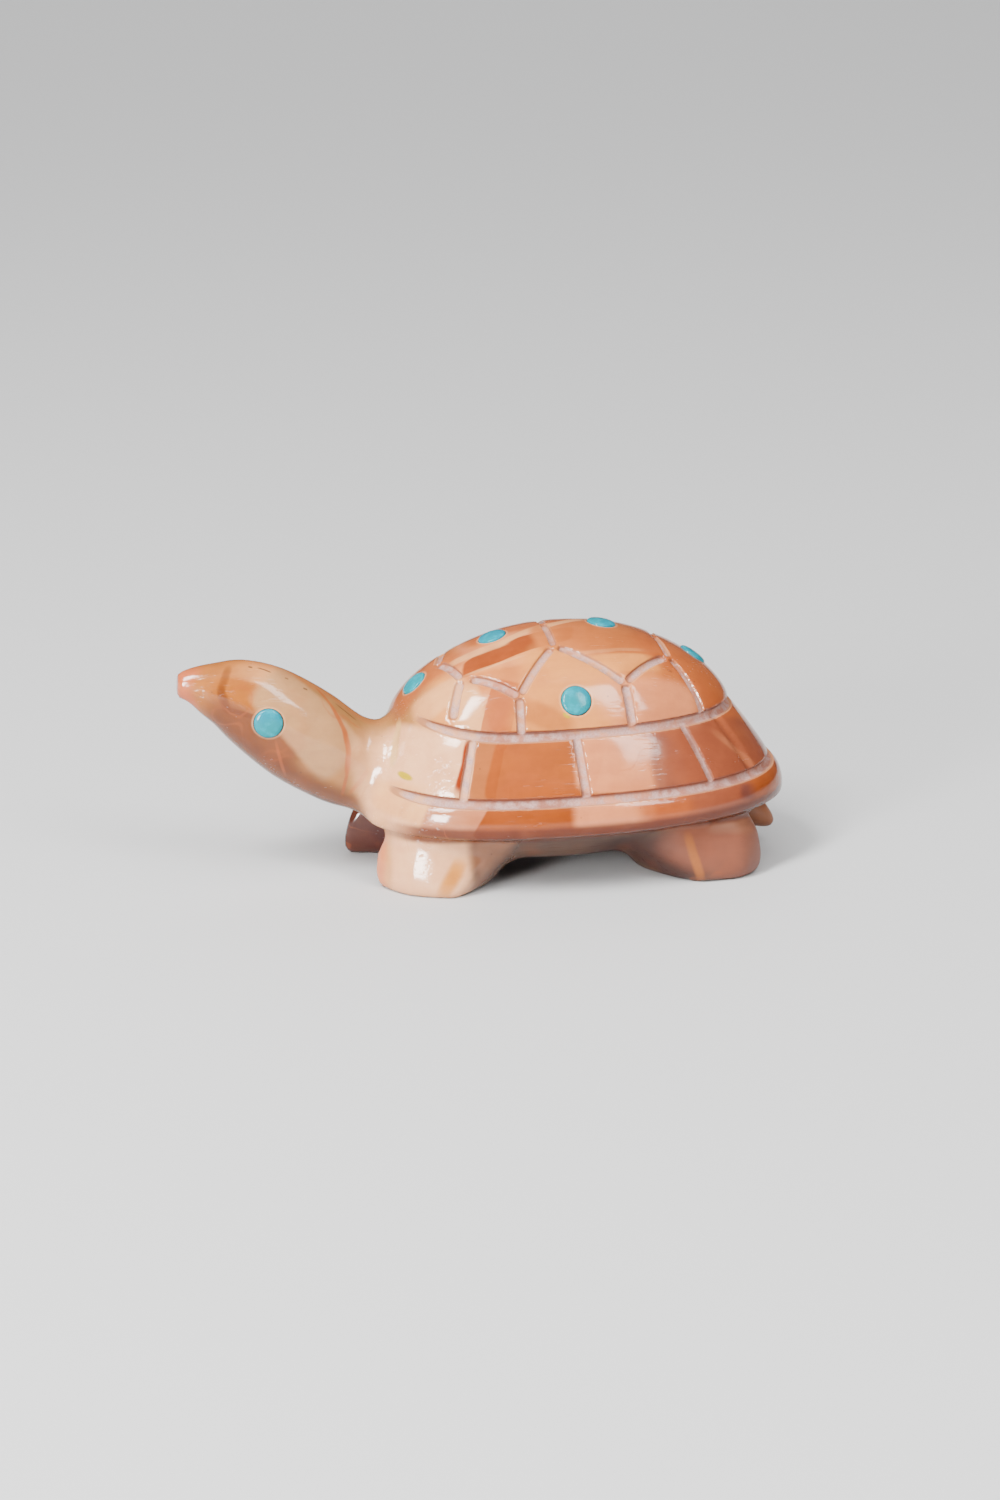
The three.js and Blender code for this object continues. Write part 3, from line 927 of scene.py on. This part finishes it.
stoneColours = {
    "cream": (0.58, 0.265, 0.104),
    "shellPink": (0.65, 0.325, 0.165),
    "tan": (0.53, 0.195, 0.046),
    "pinkTan": (0.51, 0.175, 0.070),
    "apricot": (0.40, 0.118, 0.027),
    "amber": (0.30, 0.066, 0.015),
    "orange": (0.235, 0.049, 0.0075),
    "rust": (0.20, 0.037, 0.007),
    "vermilion": (0.19, 0.022, 0.004),
    "mauve": (0.15, 0.053, 0.036),
    "deepMauve": (0.08, 0.027, 0.022),
    "ochre": (0.28, 0.082, 0.012),
    "sulphur": (0.36, 0.25, 0.003),
    # painted shade: dark greys and browns for under the shell and for the hind leg's shaded face
    "greyTan": (0.085, 0.042, 0.026),
    "belly": (0.033, 0.016, 0.012),
    "hindBrown": (0.036, 0.010, 0.005),
    "hindPink": (0.165, 0.046, 0.021),
    "jawTan": (0.105, 0.024, 0.0045),
    "snoutTan": (0.24, 0.068, 0.007),
    "neckTan": (0.21, 0.095, 0.026),
    "headCream": (0.36, 0.185, 0.080),
    "tailTan": (0.25, 0.072, 0.014),
    "footTan": (0.22, 0.092, 0.047),
    "footOchre": (0.42, 0.15, 0.018),
    "rimOrange": (0.20, 0.040, 0.005),
    "rimPink": (0.34, 0.115, 0.052),
    "bandTan": (0.28, 0.082, 0.021),
    "backRust": (0.195, 0.048, 0.021),
    "softGreen": (0.50, 0.30, 0.11),
    # painted shade along the rim's lower edge
    "rimEdgeShade": (0.075, 0.013, 0.003),
    "maroon": (0.045, 0.009, 0.010),
    "pit": (0.06, 0.026, 0.016),
    "blush": (0.42, 0.092, 0.037),
    # painted shade in the cuts: along the upper lip, on faces that turn down, and on the walls
    "upperLipShade": (0.14, 0.036, 0.018),
    "cutWallShade": (0.20, 0.075, 0.045),
    "cutStone": (0.33, 0.18, 0.155),
    "cutStonePale": (0.44, 0.285, 0.255),
}

# patches of the layered stone: colour, from, to, width, softness and strength, in millimetres, and how askew
# the ends are, where they aren't square
patches = [
    # head and neck
    ("snoutTan", (-33.0, 0, 22.6), (-26.0, 0, 19.5), 9.0, 0.6, 0.85),
    ("neckTan", (-19.5, 0, 17.2), (-14.0, 0, 14.0), 11.0, 0.5, 0.85),
    ("blush", (-33.3, -0.3, 23.6), (-32.8, -0.6, 20.9), 2.2, 0.7, 0.75),
    ("apricot", (-24, 0, 24.2), (-12.8, 0, 17.6), 2.6, 0.8, 0.6),
    ("ochre", (-28.4, -2.8, 22.4), (-24.6, -3.6, 21.3), 3.0, 0.3, 0.9),
    ("jawTan", (-28.2, -1.5, 24.2), (-29.0, -2.6, 22.3), 0.8, 1.0, 0.6),
    ("jawTan", (-29.0, -2.6, 22.3), (-28.6, -3.0, 20.3), 0.9, 1.0, 0.75),
    ("jawTan", (-28.6, -3.0, 20.4), (-25.4, -3.9, 19.4), 0.6, 0.8, 0.7),
    # the jaw: reddish tan, darkened as painted shade under the head
    ("jawTan", (-28.6, -3.0, 18.9), (-23.0, -4.0, 15.2), 4.8, 0.5, 0.85),
    ("headCream", (-22.3, -3.4, 21.2), (-17.8, -4.3, 16.1), 6.2, 0.2, 0.9),
    # the throat: reddish tan, darkened as painted shade under the neck
    ("jawTan", (-27.0, -1.5, 15.8), (-14.3, -2.0, 8.2), 4.6, 0.8, 0.9),
    ("amber", (-23.5, -4.2, 16.4), (-22.5, -3.0, 12.6), 0.35, 0.8, 0.6),
    ("amber", (-18.4, -1.1, 21.2), (-16.9, -2.5, 19.3), 0.4, 0.8, 0.7),
    ("amber", (-16.9, -2.5, 19.3), (-15.9, -3.5, 17.0), 0.55, 0.8, 0.8),
    ("amber", (-15.9, -3.5, 17.0), (-15.6, -4.1, 14.9), 0.65, 0.8, 0.85),
    ("amber", (-15.6, -4.1, 14.9), (-15.8, -4.3, 13.0), 0.65, 0.8, 0.85),
    ("amber", (-15.8, -4.3, 13.0), (-16.2, -3.6, 10.3), 0.4, 0.8, 0.7),
    ("amber", (-15.2, -3.9, 10.5), (-13.5, -4.2, 12.8), 0.5, 0.8, 0.6),
    ("shellPink", (-12.5, -3.5, 14.5), (-12.8, -5.6, 9.5), 4.5, 0.7, 0.5),
    ("pit", (-25.9, -1.3, 24.3), (-25.7, -1.3, 24.2), 0.24, 0.5, 0.8),
    ("pit", (-24.9, -1.3, 24.1), (-23.8, -1.5, 23.7), 0.22, 0.5, 0.75),
    ("pit", (-22.1, -1.7, 22.9), (-21.9, -1.7, 22.8), 0.22, 0.5, 0.6),
    ("pit", (-20.1, -2.0, 21.7), (-19.8, -2.0, 21.6), 0.26, 0.5, 0.7),
    ("pit", (-16.4, -1.7, 19.5), (-14.5, -1.8, 17.8), 0.16, 0.5, 0.6),
    # dome
    ("amber", (-9.6, 0, 18.8), (-3.5, 0, 23.6), 5.0, 0.5, 0.8),
    ("cream", (-7.2, -5.2, 19.8), (-4.6, -5.8, 21.8), 3.4, 0.5, 0.9),
    ("rust", (-1.9, -4.2, 24.1), (8.0, -3.3, 26.7), 2.7, 0.08, 0.95, -0.5),
    ("amber", (0, 1.5, 25.6), (7.2, 1.1, 26.9), 4.0, 0.5, 0.8),
    ("apricot", (-2.4, -6.3, 22.6), (2.6, -7.2, 23.4), 2.6, 0.5, 0.7),
    ("cream", (-3.6, -2.0, 23.8), (1.4, -2.6, 25.6), 1.3, 0.5, 0.9),
    ("cream", (1.4, -2.6, 25.6), (7.0, -0.6, 26.8), 1.1, 0.5, 0.9),
    ("cream", (-2.8, -5.1, 23.1), (3.1, -5.5, 24.9), 0.35, 0.7, 0.6),
    ("cream", (-3.6, -7.4, 21.2), (-3.0, -9.5, 18.8), 3.6, 0.4, 0.9),
    ("amber", (0.6, -8.5, 21.8), (-0.9, -10.8, 18.2), 3.2, 0.08, 0.8),
    ("tan", (5.5, -8.2, 23.0), (9.5, -11.0, 19.0), 5.5, 0.5, 0.8),
    ("orange", (3.0, -9.9, 20.4), (6.2, -11.1, 18.8), 2.6, 0.6, 0.45),
    ("apricot", (7.9, -3.0, 26.4), (18.6, -2.4, 25.0), 5.8, 0.12, 0.85),
    ("rust", (9.8, -0.8, 26.8), (18.0, -1.0, 25.4), 5.0, 0.5, 0.35),
    ("tan", (11.0, -6.9, 24.1), (17.0, -6.4, 23.7), 2.4, 0.35, 0.85),
    ("cream", (8.7, -5.9, 24.9), (18.2, -4.6, 24.4), 0.5, 0.9, 0.25),
    ("cream", (6.9, -1.0, 26.8), (11.0, 0.8, 27.0), 1.0, 0.5, 0.8),
    ("pinkTan", (13.5, -9.6, 20.6), (20.0, -8.9, 19.4), 5.4, 0.5, 0.8),
    ("pit", (19.2, -6.7, 22.8), (19.4, -6.7, 22.6), 0.3, 0.6, 0.6),
    ("amber", (20.0, -3.0, 24.1), (25.0, -5.0, 20.0), 7.5, 0.4, 0.8),
    # legs and tail
    ("blush", (-12.4, -5.0, 4.6), (-12.0, -6.2, 0.8), 2.6, 0.9, 0.65),
    ("shellPink", (-8.2, -9.9, 7.2), (-8.0, -10.3, -0.5), 9.0, 0.3, 0.9),
    # the fore leg's rear face: tan, darkened as painted shade
    ("footTan", (-2.0, -10.0, 6.0), (-2.0, -9.2, 0.0), 4.2, 0.8, 0.9),
    ("footOchre", (-5.2, -11.4, 3.4), (-6.6, -11.6, 1.2), 1.6, 0.9, 0.9),
    # painted shade where the fore leg's rear runs in under the shell
    ("greyTan", (0.8, -8.4, 2.8), (5.5, -9.5, 4.4), 5.0, 0.9, 0.9),
    # painted shade on the hind leg's face that turns forward and in
    ("hindBrown", (14.5, -8.5, 4.0), (19.9, -11.2, 2.2), 6.0, 0.6, 1),
    ("hindPink", (22.8, -12.3, 5.8), (28.0, -11.2, 3.6), 9.0, 0.5, 0.95),
    ("footTan", (24.0, -11.6, 6.6), (27.5, -10.8, 6.2), 2.4, 0.9, 0.5),
    ("ochre", (20.5, -11.6, 4.9), (21.8, -12.2, 0.6), 1.0, 0.9, 0.8),
    # the far fore foot: dark maroon, partly its own colour and partly painted shade
    ("maroon", (-15.5, 4.6, 2.8), (-9.5, 3.4, 2.8), 7.5, 0.6, 0.95),
    ("tailTan", (30.5, 0, 5.0), (33.4, 0, 1.8), 4.5, 0.4, 0.8),
    # band
    ("shellPink", (-10.2, -6.2, 15.0), (-5.0, -10.2, 14.6), 6.5, 0.35, 0.9),
    ("bandTan", (-1.4, -10.8, 16.4), (-2.6, -12.3, 12.1), 3.0, 0.12, 1),
    ("vermilion", (-3.3, -9.6, 16.9), (-4.6, -11.7, 12.2), 0.56, 0.4, 1),
    ("orange", (2.4, -12.4, 14.6), (6.1, -12.8, 14.2), 8.0, 0.06, 0.9, -0.2),
    ("pinkTan", (10.6, -12.8, 14.5), (14.6, -12.9, 14.0), 6.5, 0.15, 0.9),
    ("mauve", (17.9, -11.8, 15.8), (18.1, -13.5, 11.6), 3.6, 0.6, 0.85),
    ("backRust", (21.8, -10.9, 14.5), (29.5, -7.0, 13.4), 8.0, 0.3, 0.9),
    # a faint paler line along the back crease: painted highlight
    ("pinkTan", (24.8, -9.3, 16.6), (28.3, -8.4, 12.0), 0.9, 0.9, 0.25),
    ("softGreen", (-10.0, -3.0, 17.2), (-10.9, -5.2, 13.8), 1.0, 0.5, 0.7),
    ("sulphur", (-10.5, -6.8, 12.9), (-9.7, -7.8, 12.65), 0.75, 0.5, 1),
    ("sulphur", (6.9, -10.7, 19.7), (7.2, -10.8, 19.5), 0.5, 0.5, 0.9),
    # rim
    ("cream", (-12.0, -6.8, 10.3), (-7.1, -11.9, 9.2), 3.5, 0.4, 0.9),
    ("rimPink", (-7.0, -12.0, 9.2), (-1.0, -14.2, 9.2), 4.0, 0.12, 0.9, -0.3),
    ("rimOrange", (-0.9, -14.1, 9.3), (6.2, -15.2, 9.1), 4.4, 0.05, 0.95, -0.5),
    ("pinkTan", (8.6, -15.0, 9.6), (14.2, -14.8, 9.8), 3.4, 0.3, 0.9),
    ("amber", (15.5, -14.7, 9.8), (21.0, -13.6, 10.0), 3.0, 0.5, 0.8),
    ("backRust", (21.5, -13.4, 10.2), (27.0, -10.8, 10.4), 3.2, 0.4, 0.9),
    ("deepMauve", (27.0, -11.2, 9.8), (27.8, -10.7, 9.6), 1.8, 0.7, 0.7),
    ("orange", (29.0, -9.0, 10.0), (31.8, -5.5, 10.4), 4.0, 0.5, 0.9),
]

# a left patch comes again on the far side where it is this far out and this wide at least, in millimetres
farPatches = {"out": 2.5, "least": 2.9, "further": 1.4, "softer": 0.2, "fainter": 0.8}


def farPatch(patch):
    # a broad patch again on the far side, where its layer comes out a little further back, softer and fainter
    name, start, end, width, softness, strength = patch[:6]
    start, end = ((x + farPatches["further"], -y, z) for x, y, z in (start, end))
    return name, start, end, width, softness + farPatches["softer"], strength * farPatches["fainter"]


broad = [patch for patch in patches if patch[1][1] < -farPatches["out"] and patch[3] >= farPatches["least"]]
patches = [farPatch(patch) for patch in broad] + patches

stoneLook = {
    "drift": 2.4 * mm,  # how far the layers wander
    "patchDrift": 1.1 * mm,
    "patchDepth": 1.6 * mm,  # the least reach of a patch into the stone
    "looseWidth": 1.5,  # in millimetres; patches wider and softer than this wander all the way
    "looseSoftness": 0.1,
    "grading": (-13 * mm, 18 * mm),  # from the neck to where the tail's colours start
    "gradingShare": 0.5,
    "cloudShare": 1.3,
    "cloudSize": 13 * mm,
    "cloudTurn": (0.3, 0.25, 0.1),
    "cloudStretch": (0.8, 0.6, 1.7),
    "grades": [(0.02, "cream"), (0.25, "tan"), (0.4, "pinkTan"), (0.5, "apricot"), (0.62, "amber"),
               (0.78, "rust"), (0.97, "backRust")],
    "underShadeGrades": [(0.38, "belly"), (0.62, "greyTan")],
    "underCloudSize": 7 * mm,
    "underShadeHeights": (7.2 * mm, 5.8 * mm),  # from none of the painted shade under the shell to nothing else
    "behindNeck": (-13 * mm, -9 * mm),
    # painted shade along the rim's lower edge: its strength and the heights where it starts and is full
    "rimEdgeShade": 0.9,
    "rimEdgeTop": (8.8 * mm, 8.1 * mm),
    "rimEdgeFoot": (6 * mm, 6.6 * mm),
    "roughness": 0.11,
    "cutRoughness": 0.82,
    "underRoughness": 0.32,  # how much duller the rear of the belly and the hind legs were left
    "dullHeights": (7.6 * mm, 6.8 * mm),
    "dullFrom": (-1 * mm, 4 * mm),
    "scratches": 1.0,
    "bumpStrength": 0.7,
    "bumpDepth": 0.02 * mm,
    "powderBump": 3,
}

# marks in the stone: sizes, strengths, and the values of their noise between which they come in
veins = {"size": 11 * mm, "range": (0.009, 0.001), "strength": 0.3, "patchSize": 8 * mm,
         "patchRange": (0.52, 0.66)}
tones = {"size": 2.2 * mm, "range": (0.3, 0.7), "strength": 0.16, "dark": (0.35, 0.3, 0.3, 1),
         "light": (0.72, 0.72, 0.7, 1)}
hues = {"size": 5 * mm, "range": (0.5, 0.7), "strength": 0.28, "amber": 0.6}
layers = {"size": 0.9 * mm, "turn": (0.4, -0.28, 0.1), "stretch": (0.14, 1, 1), "range": (0.32, 0.68),
          "strength": 0.07, "dark": (0.33, 0.27, 0.27, 1), "light": (0.74, 0.74, 0.72, 1)}
specks = {"size": 1.3 * mm, "rarity": (0.88, 0.93), "range": (0.12, 0.05), "strength": 0.5}

# the cuts: where each finish starts and is full, and its strength where that isn't 1
cutLook = {
    # painted shade on a cut's walls
    "wall": (0.04, 0.3, 0.6),
    "bottom": (0.42, 0.78),
    "dust": 0.9,
    "powderSize": 0.2 * mm,
    "powder": (0.3, 0.7),
    "wornSize": 1.1 * mm,
    "worn": (0.35, 0.65, 0.7),
    # painted shade where a cut's face turns down
    "downward": (0.1, -0.45, 0.7),
    "downwardDepth": (0.02, 0.2),
    # the lips: painted shade along the upper lip and a painted highlight along the lower one
    "lip": (0.15, 0.7),
    # attribute, strength and colour
    "lips": (("upperLipShade", 0.65, "upperLipShade"), ("lowerLipHighlight", 0.4, "shellPink")),
    "halo": (0.5, 0.92, 0.55),
}


def patchFrame(start, end, width, slant=0):
    # the centre of a patch from start to end over the stone's skin, and its three ways, each longer for a
    # smaller patch
    start, end, width = Vector(start) * mm, Vector(end) * mm, width * mm
    out = stoneSkin.find_nearest((start + end) / 2)[1]
    along = (end - start) - out * (end - start).dot(out)
    side = out.cross(along).normalized()
    along = side.cross(out).normalized()
    reach = (end - start).length / 2 + width / 2
    depth = max(width, stoneLook["patchDepth"])
    return (start + end) / 2, (along + side * slant) / reach, side / (width / 2), out / depth


def graded(tree, value, grades):
    ramp = addNode(tree, "ValToRGB", {0: value})
    elements = ramp.color_ramp.elements
    for grade in grades[1:-1]:
        elements.new(grade[0])
    for element, (at, name) in zip(elements, grades):
        element.position = at
        element.color = (*stoneColours[name], 1)
    return ramp.outputs["Color"]


def layeredColour(tree, place):
    # cream at the head and front, then tan, apricot and rust towards the tail, in wandering layers, with
    # painted shade in dark greys low under the shell
    look = stoneLook
    wandering = placeGroup(tree, drift, Place=place, Amount=look["drift"])[0]
    axes = addNode(tree, "SeparateXYZ", {0: place}).outputs
    front, back = look["grading"]
    backward = addNode(tree, "MapRange", {"Value": axes[0], "From Min": front, "From Max": back}).outputs[0]
    squashed = turned(tree, wandering, look["cloudTurn"], look["cloudStretch"])
    clouds = grain(tree, squashed, look["cloudSize"], 3)
    backward = maths(tree, "MULTIPLY", backward, look["gradingShare"])
    level = maths(tree, "ADD", backward, maths(tree, "MULTIPLY", clouds, look["cloudShare"]))
    upper = graded(tree, maths(tree, "SUBTRACT", level, 0.5), look["grades"])
    # painted shade: low under the shell, from behind the neck back, the stone is painted in dark greys
    under = graded(tree, grain(tree, wandering, look["underCloudSize"], 3), look["underShadeGrades"])
    low = eased(tree, axes[2], *look["underShadeHeights"])
    low = maths(tree, "MULTIPLY", low, eased(tree, axes[0], *look["behindNeck"]))
    return mixed(tree, low, upper, under), wandering


def rimEdgeShade(tree, place):
    # painted shade: the darker line along the rim's lower edge, where it turns under, which lies as askew as
    # the shell
    slope = math.tan(math.radians(shell["tilt"]))
    level = vectors(tree, "DOT_PRODUCT", place, (-slope, 0, 1), "Value")
    level = maths(tree, "ADD", level, shell["middle"] * slope)
    backward = addNode(tree, "SeparateXYZ", {0: place}).outputs[0]
    top, foot = eased(tree, level, *stoneLook["rimEdgeTop"]), eased(tree, level, *stoneLook["rimEdgeFoot"])
    line = maths(tree, "MULTIPLY", top, foot)
    shown = eased(tree, backward, *stoneLook["behindNeck"], stoneLook["rimEdgeShade"])
    return maths(tree, "MULTIPLY", line, shown)


def patchedColour(tree, colour, place, loose, tight):
    for name, start, end, width, softness, strength, *slant in patches:
        centre, along, across, out = patchFrame(start, end, width, *slant)
        wanders = width > stoneLook["looseWidth"] and softness > stoneLook["looseSoftness"]
        roundness = 1.0 if name == "sulphur" else softness / 2  # the two yellow spots are ovals
        mask = placeGroup(tree, patchMask, Place=loose if wanders else tight, Centre=centre, Along=along,
                          Across=across, Out=out, Roundness=roundness, Softness=softness,
                          Strength=strength)[0]
        colour = tinted(tree, mask, colour, name)
    # painted shade along the rim's lower edge
    return tinted(tree, rimEdgeShade(tree, place), colour, "rimEdgeShade")


def markedColour(tree, colour, place, wandering, loose, tight):
    # thin rusty veins, cloudy changes of tone and hue, fine layers and dark specks
    flow = maths(tree, "SUBTRACT", grain(tree, wandering, veins["size"]), 0.5)
    vein = eased(tree, maths(tree, "ABSOLUTE", flow), *veins["range"], veins["strength"])
    here = eased(tree, grain(tree, place, veins["patchSize"], 1), *veins["patchRange"])
    colour = tinted(tree, maths(tree, "MULTIPLY", vein, here), colour, "amber")
    tone = eased(tree, grain(tree, loose, tones["size"], 4, 0.6), *tones["range"])
    tone = mixed(tree, tone, tones["dark"], tones["light"])
    colour = mixed(tree, tones["strength"], colour, tone, "OVERLAY")
    hue = eased(tree, grain(tree, wandering, hues["size"], 3), *hues["range"], hues["strength"])
    colour = mixed(tree, hue, colour, tinted(tree, hues["amber"], colour, "amber"))
    layer = turned(tree, tight, layers["turn"], layers["stretch"])
    layer = eased(tree, grain(tree, layer, layers["size"], 3, 0.55), *layers["range"])
    layer = mixed(tree, layer, layers["dark"], layers["light"])
    colour = mixed(tree, layers["strength"], colour, layer, "OVERLAY")
    cells = addNode(tree, "TexVoronoi", {"Vector": tight, "Scale": 1 / specks["size"]}).outputs
    rare = eased(tree, addNode(tree, "SeparateColor", {0: cells["Color"]}).outputs[0], *specks["rarity"])
    speck = eased(tree, cells["Distance"], *specks["range"], specks["strength"])
    return tinted(tree, maths(tree, "MULTIPLY", rare, speck), colour, "pit")


def attribute(tree, name):
    return addNode(tree, "Attribute", attribute_name=name).outputs["Fac"]


def cutColour(tree, colour, place):
    # the cuts: dull, pale and grainy at the bottom, with painted shade on their walls, on faces that turn
    # down and along the upper lip, and a painted highlight along the lower lip
    cutDepth, halo = attribute(tree, "cutDepth"), attribute(tree, "halo")
    powder = grain(tree, place, cutLook["powderSize"], 3, 0.6)
    onWall = eased(tree, cutDepth, *cutLook["wall"])
    inCut = eased(tree, cutDepth, *cutLook["bottom"])
    pale = (*stoneColours["cutStonePale"], 1)
    dust = mixed(tree, eased(tree, powder, *cutLook["powder"]), (*stoneColours["cutStone"], 1), pale)
    worn = eased(tree, grain(tree, place, cutLook["wornSize"], 3), *cutLook["worn"])
    dust = mixed(tree, worn, dust, colour)
    # painted shade: darker where a cut's face turns down
    facing = addNode(tree, "SeparateXYZ", {0: addNode(tree, "NewGeometry").outputs["Normal"]}).outputs[2]
    shaded = eased(tree, facing, *cutLook["downward"])
    shaded = maths(tree, "MULTIPLY", shaded, eased(tree, cutDepth, *cutLook["downwardDepth"]))
    # painted shade on the walls of the cuts
    colour = tinted(tree, onWall, colour, "cutWallShade")
    colour = mixed(tree, maths(tree, "MULTIPLY", inCut, cutLook["dust"]), colour, dust)
    colour = tinted(tree, shaded, colour, "upperLipShade")
    # painted shade along each upper lip and a painted highlight along each lower lip
    for edge, strength, name in cutLook["lips"]:
        colour = tinted(tree, eased(tree, attribute(tree, edge), *cutLook["lip"], strength), colour, name)
    return tinted(tree, eased(tree, halo, *cutLook["halo"]), colour, "shellPink"), inCut, powder


def stoneMaterial():
    material, shader = newMaterial("layered stone")
    tree = material.node_tree
    place = addNode(tree, "TexCoord").outputs["Object"]
    colour, wandering = layeredColour(tree, place)
    loose = placeGroup(tree, drift, Place=place, Amount=stoneLook["patchDrift"])[0]
    tight = placeGroup(tree, drift, Place=place, Amount=stoneLook["patchDrift"] / 2)[0]
    colour = patchedColour(tree, colour, place, loose, tight)
    colour = markedColour(tree, colour, place, wandering, loose, tight)
    colour, inCut, powder = cutColour(tree, colour, place)
    tree.links.new(colour, shader.inputs["Base Color"])

    polish = placeGroup(tree, handPolish, Place=place, Scratches=stoneLook["scratches"])
    axes = addNode(tree, "SeparateXYZ", {0: place}).outputs
    dull = eased(tree, axes[2], *stoneLook["dullHeights"])
    dull = maths(tree, "MULTIPLY", dull, eased(tree, axes[0], *stoneLook["dullFrom"]))
    smooth = maths(tree, "ADD", polish["Roughness"], stoneLook["roughness"])
    smooth = maths(tree, "ADD", smooth, maths(tree, "MULTIPLY", dull, stoneLook["underRoughness"]))
    rough = {"Value": inCut, "To Min": smooth, "To Max": stoneLook["cutRoughness"]}
    tree.links.new(addNode(tree, "MapRange", rough).outputs[0], shader.inputs["Roughness"])
    grainy = maths(tree, "MULTIPLY", powder, stoneLook["powderBump"])
    height = addNode(tree, "MapRange", {"Value": inCut, "To Min": polish["Height"], "To Max": grainy})
    bump = addNode(tree, "Bump", {"Height": height.outputs[0], "Strength": stoneLook["bumpStrength"],
                                  "Distance": stoneLook["bumpDepth"]})
    tree.links.new(bump.outputs[0], shader.inputs["Normal"])
    return material


turquoiseLook = {
    "blue": (0.001, 0.17, 0.235, 1),
    "green": (0.001, 0.175, 0.205, 1),
    "pale": (0.003, 0.29, 0.36, 1),
    "cloudSize": 5 * mm,
    "cloudRange": (0.4, 0.62),
    "fleckSize": 0.9 * mm,
    "flecks": (0.45, 0.72, 0.6),
    "drift": 0.5 * mm,
    "roughness": 0.16,
    "specular": 0.25,
    "scratches": 0.5,
    "bumpSize": 0.6 * mm,
    "bumpStrength": 0.5,
    "bumpDepth": 0.05 * mm,
}


def turquoiseMaterial():
    look = turquoiseLook
    material, shader = newMaterial("polished turquoise")
    tree = material.node_tree
    place = addNode(tree, "TexCoord").outputs["Object"]
    loose = placeGroup(tree, drift, Place=place, Amount=look["drift"])[0]
    cloud = eased(tree, grain(tree, place, look["cloudSize"]), *look["cloudRange"])
    colour = mixed(tree, cloud, look["blue"], look["green"])
    fleck = eased(tree, grain(tree, loose, look["fleckSize"], 3), *look["flecks"])
    tree.links.new(mixed(tree, fleck, colour, look["pale"]), shader.inputs["Base Color"])
    shader.inputs["Specular IOR Level"].default_value = look["specular"]
    polish = placeGroup(tree, handPolish, Place=place, Scratches=look["scratches"])
    tree.links.new(maths(tree, "ADD", polish["Roughness"], look["roughness"]), shader.inputs["Roughness"])
    bump = addNode(tree, "Bump", {"Height": grain(tree, place, look["bumpSize"], 3),
                                  "Strength": look["bumpStrength"], "Distance": look["bumpDepth"]})
    tree.links.new(bump.outputs[0], shader.inputs["Normal"])
    return material


stoneSkin = skinOf(stone)
stone.data.materials.clear()
stone.data.materials.append(stoneMaterial())
turquoise = turquoiseMaterial()
for plug in plugs:
    plug.data.materials.clear()
    plug.data.materials.append(turquoise)
